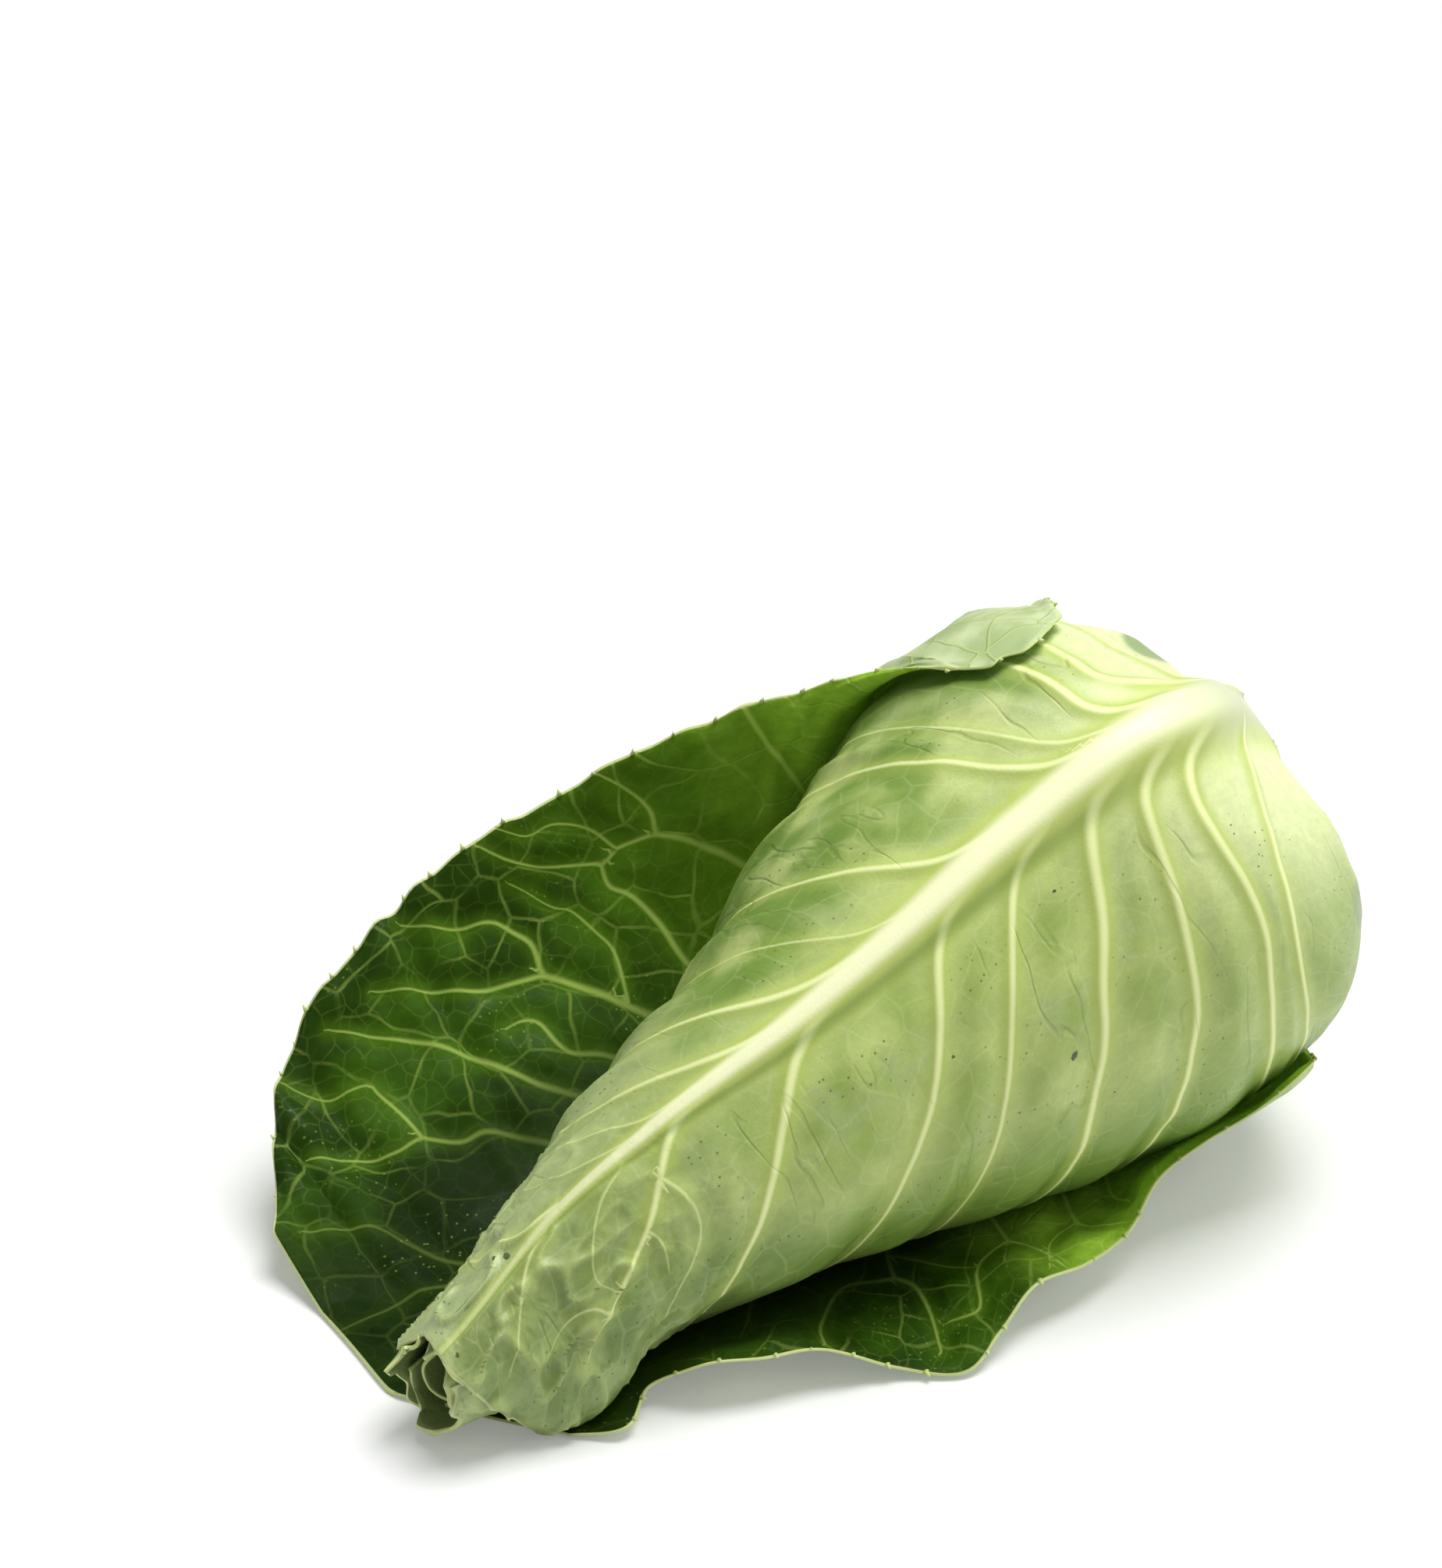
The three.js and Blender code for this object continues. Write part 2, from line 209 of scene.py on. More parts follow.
def polar_point(distance, angle, radius):
    """Points at a distance along the head, an angle round it and a radius from its axis."""
    distance, angle, radius = np.broadcast_arrays(distance, angle, radius)
    up = (radius * cosine(angle))[..., None] * np.array(UP_ACROSS)
    near = (radius * sine(angle))[..., None] * np.array(NEAR_SIDE)
    return np.array(STEM_POLE) + distance[..., None] * np.array(ALONG_HEAD) + up + near


def head_point(distance, angle, lift):
    """Points of the head's surface, lifted off it along the surface's own normal."""
    step = 0.4
    radius = head_radius(distance, angle)
    back = np.maximum(distance - step, 0)
    slope = (head_radius(distance + step, angle) - head_radius(back, angle)) / (distance + step - back)
    length = np.hypot(1, slope)
    return polar_point(distance - lift * slope / length, angle, radius + lift / length)


def start_distance(angle, lift):
    """Distances at which the head's lifted surface stands clear of the stem."""
    steps = np.arange(*START_STEPS)
    offset = head_point(steps, angle[:, None] + 0 * steps, lift) - np.array(STEM_POLE)
    across = np.hypot(offset @ np.array(UP_ACROSS), offset @ np.array(NEAR_SIDE))
    return steps[np.argmax(across >= STEM_RADIUS + STEM_CLEARANCE, axis=1)]


def tip_scale(distance):
    """Layers thin out towards the tip, where the leaves are at their finest."""
    return 1 - TIP_THINNING * smoothstep(distance, TIP_THINNING_START, HEAD_LENGTH)


def soft_noise(x, y, seed):
    """A smooth random field between -1 and 1 whose features are about one unit wide."""
    size = 64
    values = np.random.default_rng(seed).uniform(-1, 1, (size, size))
    column = np.floor(x).astype(int)
    row = np.floor(y).astype(int)
    left = column % size
    right = (column + 1) % size
    below = row % size
    above = (row + 1) % size
    share = smoothstep(x - column, 0, 1)
    low = blend(values[below, left], values[below, right], share)
    high = blend(values[above, left], values[above, right], share)
    return blend(low, high, smoothstep(y - row, 0, 1))


# ---------------------------------------------------------------- leaves wrapped round the head

class WrappedLeaf:
    """A leaf of the head. Its midrib and its two margins are angles that follow curves
    from stem to tip, the margin with the smaller angles first. Its tip end is a curve
    from one margin to the other, in distances from the stem. Its veins are laid out flat."""

    def __init__(self, lift, end, midrib, from_margin, to_margin, veins,
                 rib_height=(0.6, 1.2, 0.5), rib_width=(6, 4, 2), clearance=2.4, ragged=2.2):
        self.lift = lift
        self.end = end
        self.midrib = midrib
        self.margins = (from_margin, to_margin)
        self.veins = veins
        self.rib_height = rib_height
        self.rib_width = rib_width
        self.clearance = clearance
        self.ragged = ragged

    def angle(self, t, v):
        """Angles round the head of the leaf's points."""
        margin = np.where(v < 0, curve(self.margins[0], t), curve(self.margins[1], t))
        return blend(curve(self.midrib, t), margin, np.abs(v))

    def distance(self, t, v):
        """Distances along the head of the leaf's points."""
        start = start_distance(self.angle(0 * v[0], v[0]), self.lift)
        ragged = self.ragged * soft_noise(4.5 * v[0] + 30, 0 * v[0], seed=61)
        return blend(start, curve(self.end, (v + 1) / 2) + ragged, t)


# Layer lifts, from the outermost wrapper leaf inwards.
FRONT_LIFT = -0.3
REAR_LIFT = FRONT_LIFT - LAYER
UNDER_LIFT = REAR_LIFT - LAYER
SIDE_LIFT = UNDER_LIFT - LAYER

# A regular vein runs to these angles from the midrib, and bends towards the tip at first.
VEIN_TURNS = (0, 12, 28, 50, 80, 110)
VEIN_BEND = 35
VEIN_RISE = 1 - math.exp(-2.1)
REGULAR_VEIN = (2.2, 0.9)


def regular_veins(roots):
    """Side veins to both sides of a midrib. Each root gives the distance at which a
    vein leaves the midrib, and how much nearer to the tip its end is."""
    veins = []
    for side in (-1, 1):
        for root, rise in roots:
            path = []
            for turn in VEIN_TURNS:
                distance = root + rise * (1 - math.exp(-turn / VEIN_BEND)) / VEIN_RISE
                path.append((distance, side * float(head_radius(distance, 90)) * math.radians(turn)))
            veins.append((*REGULAR_VEIN, path))
    return veins


# The side veins of the front leaf, laid flat: each vein's width at its start and end, and
# its course as distances from the stem and from the midrib, positive to the near side.
FRONT_VEINS = [
    (2.6, 1.4, [(24, 3), (33, 12), (40, 23), (45, 34), (48, 50), (49, 64), (48, 78), (46, 95), (46, 130)]),
    (3.0, 1.6, [(45, 3), (53, 8), (57, 15), (58, 25), (57, 38), (57, 50),
                (59, 65), (59, 81), (57, 101), (57, 130)]),
    (3.0, 1.6, [(55, 3), (65, 9), (69, 17), (72, 30), (75, 44), (77, 56),
                (80, 67), (83, 80), (88, 100), (92, 130)]),
    (3.6, 1.8, [(66, 3), (76, 6), (82, 13), (88, 25), (95, 37), (99, 49),
                (104, 60), (107, 75), (112, 95), (118, 120)]),
    (2.4, 1.1, [(86, 3), (96, 6), (103, 12), (112, 24), (119, 36), (125, 48),
                (130, 59), (136, 78), (141, 100)]),
    (2.8, 1.3, [(104, 2), (114, 4), (121, 9), (129, 20), (137, 31), (144, 39),
                (151, 48), (159, 62), (168, 82)]),
    (3.2, 1.1, [(136, 1), (146, 2), (156, 6), (165, 14), (173, 23), (180, 31),
                (187, 38), (193, 46), (200, 60)]),
    (2.6, 0.9, [(172, 1), (182, 2), (190, 7), (199, 15), (208, 21), (215, 25), (222, 29)]),
    (1.2, 0.6, [(192, 8), (190, 14), (190, 20), (192, 25), (198, 31), (204, 37)]),
    (1.0, 0.6, [(200, 16), (199, 20), (200, 26)]),
    (1.3, 0.6, [(215, 1), (221, 2), (228, 6), (233, 11), (238, 16)]),
    (0.9, 0.5, [(196, 2), (204, 5), (211, 11), (214, 17), (212, 22)]),
    (1.1, 0.5, [(215, 25), (218, 21), (224, 19), (230, 21)]),
    (3.6, 1.8, [(29, -4), (40, -10), (49, -14), (53, -20), (52, -28), (51, -39), (51, -60), (53, -90)]),
    (2.8, 1.5, [(22, -6), (30, -13), (33, -21), (33, -29), (32, -45), (33, -70)]),
    (3.2, 1.5, [(46, -4), (56, -7), (61, -13), (61, -22), (61, -34), (64, -60), (68, -95)]),
    (1.6, 0.8, [(62, -4), (71, -10), (76, -18), (80, -29), (84, -45), (88, -80)]),
    (2.6, 1.2, [(68, -3), (76, -7), (83, -14), (88, -24), (92, -32), (98, -50), (105, -90)]),
    (2.4, 1.0, [(94, -2), (104, -5), (112, -11), (120, -20), (127, -29), (136, -48), (146, -80)]),
    (1.2, 0.6, [(119, -2), (130, -7), (139, -16), (147, -26), (157, -44), (166, -66)]),
    (2.4, 0.9, [(133, -2), (145, -5), (155, -10), (164, -17), (172, -26), (180, -40), (188, -60)]),
    (2.2, 0.8, [(155, -1), (166, -4), (176, -8), (187, -14), (196, -24), (205, -40)]),
    (1.1, 0.6, [(176, -1), (186, -3), (193, -8), (199, -13), (206, -22)]),
    (1.5, 0.7, [(210, -1), (219, -3), (224, -8), (228, -14), (231, -22)]),
    (0.9, 0.5, [(191, -1), (200, -4), (206, -7), (212, -14)]),
]
REGULAR_ROOTS = [(34, 8), (48, 20), (66, 30), (90, 36), (118, 38), (148, 40), (182, 36), (216, 24)]
OTHER_VEINS = regular_veins(REGULAR_ROOTS)

FRONT_LEAF = WrappedLeaf(
    lift=FRONT_LIFT,
    end=[249, 247, 246, 247, 247.5, 247.5, 246.5, 243, 235],
    midrib=[16, 30, 29, 28, 28.5, 27, 21.5, 19, 42],
    from_margin=[-10, -62, -92, -100, -102, -102, -100, -92, -75],
    to_margin=[95, 140, 162, 166, 166, 166, 160, 132, 141],
    veins=FRONT_VEINS,
    rib_height=[3.5, 7.5, 6.0, 4.8, 3.8, 2.9, 1.9, 1.1, 0.4],
    rib_width=[8.0, 7.2, 5.8, 5.0, 4.1, 3.1, 2.0, 1.1, 0.5],
    clearance=4.2,
    ragged=0.6,
)

REAR_LEAF = WrappedLeaf(
    lift=REAR_LIFT,
    end=[249, 252, 253, 251, 247],
    midrib=[-112, -112, -112, -112, -112, -108, -100],
    from_margin=[-165, -198, -205, -205, -205, -195, -180],
    to_margin=[-60, -28, -12, -8, -8, -12, -20],
    veins=OTHER_VEINS,
    rib_height=[1.5, 3.5, 3.2, 2.6, 2, 1.4, 0.9, 0.5, 0.2],
    rib_width=[8, 8, 7.5, 7, 6, 5, 3.6, 2.6, 2],
)

UNDER_LEAF = WrappedLeaf(
    lift=UNDER_LIFT,
    end=[249, 252, 253, 252, 250],
    midrib=[172, 172, 172, 170, 168, 165, 160],
    from_margin=[118, 88, 78, 74, 72, 72, 80],
    to_margin=[225, 258, 268, 270, 266, 258, 240],
    veins=OTHER_VEINS,
)

SIDE_LEAF = WrappedLeaf(
    lift=SIDE_LIFT,
    end=[247, 249, 250, 249, 248],
    midrib=[108, 108, 106, 102, 98, 90, 80],
    from_margin=[56, 26, 14, 8, 2, -10, -25],
    to_margin=[160, 190, 200, 202, 200, 190, 178],
    veins=OTHER_VEINS,
)

# The front leaf's marks, laid flat: distance from the stem and from the midrib, and radius.
# The lobes are grey-green patches for leaf bases beside the stem, their grey partly painted shade.
FRONT_LOBES = [(17, 60, 9), (19, -27, 9)]
FRONT_SCARS = [(106, 47, 1.1), (93, 16, 0.5), (224, -3, 0.9), (226, -5, 0.6), (129, 28, 0.5), (245, 3, 0.6)]

# Relief of the wrapped blades. A side vein stands out in full where half its width is that
# of a stout one, a foot is how far a vein or a pucker takes to level out, and the tip
# gathers in from the first distance to the second.
STOUT_VEIN = 1.5
VEIN_FOOT = 0.9
PUCKER_FOOT = 8
WAVE_HEIGHT = 0.55
RIPPLE_HEIGHT = 0.25
FOLD_HEIGHT = 1.9
TIP_SINK = 0.5
TIP_GATHER = (170, 235)
FLARE_HEIGHT = 7
FLARE_DROP = 0.35

# The scroll in the tip's mouth, the shred on the stem, and the heart.
SCROLL_START = 205
SCROLL_END = 248
SCROLL_CORNER = 14
SCROLL_ANGLE = 40
SCROLL_TURN = 310
SCROLL_STEP = 2.2
SCROLL_GAP = 1.6
SHRED_ANGLE = 56
SHRED_SPREAD = 20.8
SHRED_LENGTH = 5
SHRED_DROOP = 3.5
SHRED_INSET = 1.6
SHRED_TUCK = 0.4
HEART_START = STEM_FACE + STEM_LENGTH - 1
HEART_END = 226
HEART_GAP = 0.6
HEART_FOLD = 0.6
HEART_LOWEST = 6


# ---------------------------------------------------------------- the loose outer leaf

# Courses from stem to tip: distances along the head, angles from straight down, positive to
# the far side, and how far from the head's axis the margins reach.
OUTER_FAR_MARGIN = {
    "distance": [3, 12, 26, 43, 65.5, 80, 108, 143, 178, 212, 239],
    "angle": [70, 95, 130, 171, 174, 137, 117, 108, 102, 93, 82],
    "radius": [16, 37, 54, 61.5, 62.5, 69, 86, 98, 102, 97, 70],
}
OUTER_NEAR_MARGIN = {
    "distance": [3, 14, 30, 47, 62, 76, 89, 102, 116, 130, 143, 155, 166, 178, 190, 201, 210, 221, 230],
    "angle": [-18, -20, -34, -60, -57, -54, -52, -51, -54, -57, -56, -55, -54, -59, -61, -60, -46, -53, -44],
    "radius": [16, 40, 57, 65, 65, 63, 63, 68, 68, 65, 68, 70, 60, 48, 42, 35, 31, 35, 29],
}
OUTER_MIDRIB = {
    "distance": [3, 14, 32, 56, 82, 110, 138, 166, 194, 222, 250],
    "angle": [27, 27, 27, 27, 27, 27, 27, 28, 30, 34, 40],
}

# The leaf lies along the head as far as the hug's end, with room for the relief between them.
# Beyond the contact angles it flares away, later and more steeply where the power is higher.
OUTER_HUG_END = 215
OUTER_ROOM = 1.2
OUTER_LIFT = FRONT_LIFT + LAYER + OUTER_ROOM
OUTER_LOWEST = 1.2
OUTER_RAGGED = 1.2
FAR_CONTACT_ANGLE = 32
NEAR_CONTACT_ANGLE = -12
FAR_CUP_POWER = 1.7
NEAR_CUP_POWER = 2.3

# Its midrib's height from stem to tip, and its width as a share of the way to a margin.
OUTER_RIB_HEIGHT = [4, 6.5, 7, 6.5, 6, 5, 4, 3, 2, 1]
OUTER_RIB_WIDTH = [0.14, 0.12, 0.1, 0.09, 0.08, 0.07, 0.06, 0.05, 0.05, 0.04]
OUTER_MARGIN_BLADE = 0.5
OUTER_VEIN_FOOT = 0.4
OUTER_PUCKER_FOOT = 5

# The teeth of the far and the near margin: the grid's column at the margin, one inside it
# and the usual gap between two teeth. They keep clear of the margin's two ends.
TEETH = [(-1, -4, 12), (0, 3, 11)]
TEETH_START = 12
TEETH_END = 6


def outer_leaf_distance(t, v):
    """How far along the head each point of the loose leaf lies."""
    side = np.where(v < 0, curve(OUTER_NEAR_MARGIN["distance"], t), curve(OUTER_FAR_MARGIN["distance"], t))
    return blend(curve(OUTER_MIDRIB["distance"], t), side, np.abs(v) ** 1.5)


def outer_leaf_points(t, v):
    """The inner face of the loose leaf. It hugs the head's underside between its two
    lines of contact and flares away from the head beyond them."""
    distance = outer_leaf_distance(t, v)
    ragged = OUTER_RAGGED * soft_noise(60 * t, 0 * t, seed=41)
    far_angle = curve(OUTER_FAR_MARGIN["angle"], t) + ragged
    near_angle = curve(OUTER_NEAR_MARGIN["angle"], t)
    angle = blend(curve(OUTER_MIDRIB["angle"], t), np.where(v < 0, near_angle, far_angle), np.abs(v))
    on_head = np.minimum(distance, OUTER_HUG_END)
    hug = head_point(on_head, angle + 180, OUTER_LIFT)
    to_far = np.clip((angle - FAR_CONTACT_ANGLE) / (far_angle - FAR_CONTACT_ANGLE), 0, 1)
    to_near = np.clip((angle - NEAR_CONTACT_ANGLE) / (near_angle - NEAR_CONTACT_ANGLE), 0, 1)
    base = head_radius(on_head, angle + 180) + OUTER_LIFT
    far_flare = np.maximum(curve(OUTER_FAR_MARGIN["radius"], t) - base, 0) * to_far ** FAR_CUP_POWER
    near_flare = np.maximum(curve(OUTER_NEAR_MARGIN["radius"], t) - base, 0) * to_near ** NEAR_CUP_POWER
    away = polar_point(0 * angle, angle + 180, 1) - np.array(STEM_POLE)
    points = hug + (far_flare + near_flare)[..., None] * away
    points += (distance - on_head)[..., None] * np.array(ALONG_HEAD)
    points[..., 2] = np.maximum(points[..., 2], OUTER_LOWEST)
    return points


# The side veins of the loose leaf, given as those of the front leaf are. The far side is positive.
OUTER_VEINS = [
    (4.2, 2.6, [(60, 0), (85, 40), (107, 77), (115, 86)]),
    (2.2, 1.0, [(115, 86), (114, 92), (117, 100), (122, 108)]),
    (2.2, 1.2, [(115, 86), (124, 87), (128, 86), (143, 95), (150, 105)]),
    (1.6, 0.8, [(124, 87), (127, 95), (133, 100), (140, 101), (148, 110)]),
    (3.6, 1.6, [(90, 0), (112, 30), (123, 52), (124, 66), (126, 75), (129, 80), (128, 86)]),
    (4.6, 2.8, [(100, 0), (120, 26), (137, 48), (145, 61), (153, 71)]),
    (2.6, 1.0, [(153, 71), (151, 78), (153, 83), (156, 88), (163, 91), (169, 96), (173, 100)]),
    (2.4, 1.0, [(153, 71), (166, 76), (174, 82), (186, 91)]),
    (1.8, 0.9, [(140, 55), (136, 66), (137, 73), (139, 80), (142, 83), (148, 93)]),
    (3.4, 1.0, [(118, 0), (138, 28), (151, 46), (159, 53), (160, 62), (163, 65), (167, 66)]),
    (4.0, 1.0, [(132, 0), (152, 28), (166, 46), (171, 54), (177, 65), (186, 77), (191, 82), (199, 90)]),
    (3.6, 1.1, [(156, 0), (170, 26), (180, 42), (186, 49), (192, 51), (198, 57), (206, 59), (220, 68)]),
    (1.8, 0.9, [(198, 57), (198, 64), (199, 71), (200, 75), (209, 79), (214, 87)]),
    (3.0, 1.0, [(190, 0), (206, 18), (214, 29), (217, 38), (221, 47), (233, 53)]),
    (2.4, 1.0, [(195, 0), (220, 24), (234, 25), (245, 24)]),
    (4.0, 1.4, [(30, 0), (48, 40), (58, 80), (66, 120), (70, 150)]),
    (3.6, 1.2, [(45, 0), (68, 42), (84, 80), (92, 110), (94, 140)]),
    (3.0, 1.0, [(18, 0), (26, 40), (34, 80), (40, 120)]),
    (3.0, 1.0, [(30, 0), (46, -22), (56, -45), (60, -70)]),
    (2.6, 1.1, [(55, 0), (70, -32), (86, -59), (92, -69), (94, -80)]),
    (2.8, 1.1, [(70, 0), (84, -30), (98, -57), (104, -69), (103, -77), (100, -84)]),
    (1.8, 0.9, [(104, -69), (114, -71), (123, -81)]),
    (3.6, 1.8, [(90, 0), (106, -28), (114, -47), (120, -62)]),
    (2.6, 1.2, [(120, -62), (132, -64), (141, -73), (147, -68)]),
    (2.0, 1.0, [(120, -62), (119, -71), (121, -84)]),
    (3.6, 1.8, [(112, 0), (130, -26), (141, -40), (146, -48)]),
    (2.4, 1.1, [(146, -48), (157, -42), (170, -49), (176, -58)]),
    (2.6, 1.2, [(146, -48), (145, -54), (148, -62), (154, -71)]),
    (1.6, 0.8, [(141, -40), (136, -54), (132, -64)]),
    (2.8, 1.2, [(148, 0), (164, -14), (172, -26), (180, -36), (186, -41)]),
    (2.0, 1.0, [(205, 0), (218, -14), (226, -26)]),
]


# A place further from all veins than the reach counts as that far away. The course between
# two points of a vein is cut into short straight pieces.
VEIN_REACH = 60
VEIN_PIECES = 5


def nearest_vein(along, across, veins):
    """The distance to the nearest vein, negative on one side of it so that it passes
    evenly through nought on the vein, and half that vein's width there."""
    place = np.stack([along.ravel(), across.ravel()], 1)
    nearest = np.full(len(place), float(VEIN_REACH))
    half_width = np.ones(len(place))
    for start_width, end_width, points in veins:
        share = np.linspace(0, 1, VEIN_PIECES * (len(points) - 1) + 1)
        path = np.stack([curve([p[0] for p in points], share), curve([p[1] for p in points], share)], 1)
        for first, last, way in zip(path[:-1], path[1:], share):
            run = last - first
            step = place - first
            reach = np.clip(step @ run / (run @ run), 0, 1)
            gap = step - reach[:, None] * run
            length = np.hypot(gap[:, 0], gap[:, 1])
            side = np.where(run[0] * step[:, 1] - run[1] * step[:, 0] < 0, -1, 1)
            closer = length < np.abs(nearest)
            nearest = np.where(closer, side * length, nearest)
            half_width = np.where(closer, blend(start_width, end_width, way) / 2, half_width)
    return nearest.reshape(along.shape), half_width.reshape(along.shape)


# ---------------------------------------------------------------- mesh helpers

def deselect_all():
    """Leaves edit mode and selects nothing."""
    if bpy.context.object and bpy.context.object.mode != "OBJECT":
        bpy.ops.object.mode_set(mode="OBJECT")
    bpy.ops.object.select_all(action="DESELECT")


def make_active(piece):
    """Selects one piece only, and makes it the active one."""
    deselect_all()
    piece.select_set(True)
    bpy.context.view_layer.objects.active = piece


def apply_modifiers(piece):
    make_active(piece)
    for modifier in list(piece.modifiers):
        bpy.ops.object.modifier_apply(modifier=modifier.name)


def points_of(mesh):
    """The places of a mesh's vertices, one row each."""
    points = np.empty(len(mesh.vertices) * 3, np.float32)
    mesh.vertices.foreach_get("co", points)
    return points.reshape(-1, 3).astype(float)


def move_points(mesh, points):
    """Puts a mesh's vertices at new places."""
    mesh.vertices.foreach_set("co", np.asarray(points, np.float32).ravel())
    mesh.update()


def turn_outward(piece):
    """Turns a closed piece's faces outwards, where its volume comes out negative."""
    mesh = piece.data
    mesh.calc_loop_triangles()
    corners = np.empty(len(mesh.loop_triangles) * 3, np.int32)
    mesh.loop_triangles.foreach_get("vertices", corners)
    a, b, c = points_of(mesh)[corners.reshape(-1, 3)].transpose(1, 0, 2)
    if np.einsum("ij,ij->i", a, np.cross(b, c)).sum() < 0:
        mesh.flip_normals()


def finish_piece(piece, materials, slot, *nodes):
    """Gives a piece its materials and smooth shading, and ties it to the frame."""
    while len(piece.data.materials) < len(materials):
        piece.data.materials.append(None)
    for place, material in enumerate(materials):
        piece.data.materials[place] = material
    make_active(piece)
    bpy.ops.object.shade_smooth()
    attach(piece, "root")
    if nodes:
        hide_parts(*nodes)


def grid_normals(points):
    """Unit normals of a grid of points, on the side where rows turn into columns."""
    normal = np.cross(np.gradient(points, axis=1), np.gradient(points, axis=0))
    return normal / np.maximum(np.linalg.norm(normal, axis=-1, keepdims=True), 1e-9)


def lengths_across(points):
    """Signed length of each point from the middle column, along its own row."""
    steps = np.linalg.norm(np.diff(points, axis=1), axis=-1)
    total = np.concatenate([np.zeros((len(points), 1)), np.cumsum(steps, axis=1)], axis=1)
    middle = points.shape[1] // 2
    return total - total[:, middle:middle + 1]


def distance_to_margin(points, across):
    """Length from each point to the nearest of the two margins and the leaf's tip."""
    steps = np.linalg.norm(np.diff(points, axis=0), axis=-1)
    total = np.concatenate([np.zeros((1, points.shape[1])), np.cumsum(steps, axis=0)], axis=0)
    side = np.minimum(across - across[:, :1], across[:, -1:] - across)
    return np.minimum(side, total[-1:] - total)


# How closely the columns of a leaf crowd to its midrib. At 1 they are evenly spaced.
CROWDING = 1.15
FRONT_CROWDING = 1.25


class Sheet:
    """A leaf's fine grid. Rows run from stem to tip at t = 0 to 1, and columns from
    one margin to the other at v = -1 to 1, closest together at v = 0."""

    def __init__(self, name, rows, columns, crowding=CROWDING):
        deselect_all()
        bpy.ops.mesh.primitive_grid_add(x_subdivisions=columns, y_subdivisions=rows, size=2)
        self.piece = bpy.context.object
        self.piece.name = name
        self.piece.data.name = name
        flat = points_of(self.piece.data).round(5)
        self.order = np.lexsort((flat[:, 0], flat[:, 1]))
        self.shape = (rows + 1, columns + 1)
        ordered = flat[self.order]
        across = ordered[:, 0].reshape(self.shape)
        self.t = (ordered[:, 1].reshape(self.shape) + 1) / 2
        self.v = np.sign(across) * np.abs(across) ** crowding

    def by_vertex(self, values):
        """Values of the grid in the order of the mesh's own vertices."""
        values = np.asarray(values, float)
        flat = values.reshape(len(self.order), -1)
        result = np.empty_like(flat)
        result[self.order] = flat
        return result

    def place(self, points):
        """Puts the grid at places in millimetres."""
        move_points(self.piece.data, self.by_vertex(points) * MM)

    def attribute(self, name, values):
        """Stores a value at each point for the materials."""
        layer = self.piece.data.attributes.new(name, "FLOAT", "POINT")
        layer.data.foreach_set("value", self.by_vertex(values).ravel().astype(np.float32))

    def flat_map(self, along, across):
        """Makes the UV map the flattened leaf itself, in metres."""
        mesh = self.piece.data
        corners = np.empty(len(mesh.loops), np.int32)
        mesh.loops.foreach_get("vertex_index", corners)
        flat = self.by_vertex(np.stack([along, across], -1)) * MM
        mesh.uv_layers.active.data.foreach_set("uv", flat[corners].ravel().astype(np.float32))

    def turn_over(self):
        """Turns the grid's face to its other side, before it gets its thickness."""
        self.piece.data.flip_normals()

    def thicken(self, thickness):
        """Gives the leaf its thickness at each point, behind the side that its normals face."""
        most = float(thickness.max())
        group = self.piece.vertex_groups.new(name="thickness")
        for index, share in enumerate(self.by_vertex(thickness / most).ravel()):
            group.add([index], float(share), "REPLACE")
        wall = self.piece.modifiers.new("thickness", "SOLIDIFY")
        wall.thickness = most * MM
        wall.offset = -1
        wall.vertex_group = group.name
        wall.material_offset = 1
        wall.material_offset_rim = 2
        for _ in range(3):
            self.piece.data.materials.append(None)
        apply_modifiers(self.piece)
        self.piece.vertex_groups.clear()
        points = points_of(self.piece.data)
        points[:, 2] = np.maximum(points[:, 2], 0)
        move_points(self.piece.data, points)
        turn_outward(self.piece)


# ---------------------------------------------------------------- leaf shapes

def vein_attributes(sheet, offset, half_width):
    """Tells the materials how far away the nearest side vein is and how wide it is there."""
    sheet.attribute("vein", offset / half_width)
    sheet.attribute("vein_near", np.abs(offset))
    sheet.attribute("vein_gap", np.abs(offset) - 0.7 * half_width)
    sheet.attribute("vein_size", half_width)


def crinkles(distance, across, beside):
    """Share of a sharp fold at each point of the blade that is gathered in at the tip."""
    ridge = (1 - np.abs(soft_noise(distance / 7, across / 5, seed=8))) ** 4
    return ridge * smoothstep(distance, *TIP_GATHER) * (1 - np.exp(-(beside / 2) ** 2))


def blade_relief(distance, angle, across, offset, from_rib, ridge):
    """Height of a wrapped blade over its plain surface: bulges between the veins, soft
    waves and the folds of the tip, flattened under the head and where another leaf clasps it."""
    pucker = bpy.context.scene.cabbage_sizes.pucker_height / MM
    to_tip = smoothstep(distance, *TIP_GATHER)
    open_blade = smoothstep(from_rib, 6, 60)
    pillow = pucker * open_blade * (1 - np.exp(-(offset / PUCKER_FOOT) ** 2)) * (1 - 0.6 * to_tip)
    sunk = 0.7 * pucker * open_blade
    waves = WAVE_HEIGHT * soft_noise(distance / 17, across / 13, seed=3)
    waves += RIPPLE_HEIGHT * soft_noise(distance / 7, across / 6, seed=5)
    folds = FOLD_HEIGHT * ridge - TIP_SINK * to_tip
    under = smoothstep(np.abs(angle - 180), 62, 30)
    clasped = smoothstep(distance, 95, 60) * smoothstep(-angle, 0, 35)
    pressed = 0.8 * np.maximum(under, clasped)
    return (pillow - sunk + waves * smoothstep(from_rib, 3, 20) + folds) * (1 - pressed)


def fold_shadow_mask(distance, angle):
    """Share of painted shadow from the loose leaf's fold on the head's far side: as far as the fold covers
    it, and a little past its margin.
    """
    margin = np.interp(distance, OUTER_FAR_MARGIN["distance"], OUTER_FAR_MARGIN["angle"]) - 180
    along_fold = smoothstep(distance, 50, 66) * smoothstep(distance, 125, 90)
    return along_fold * smoothstep(angle - margin, 22, 8)


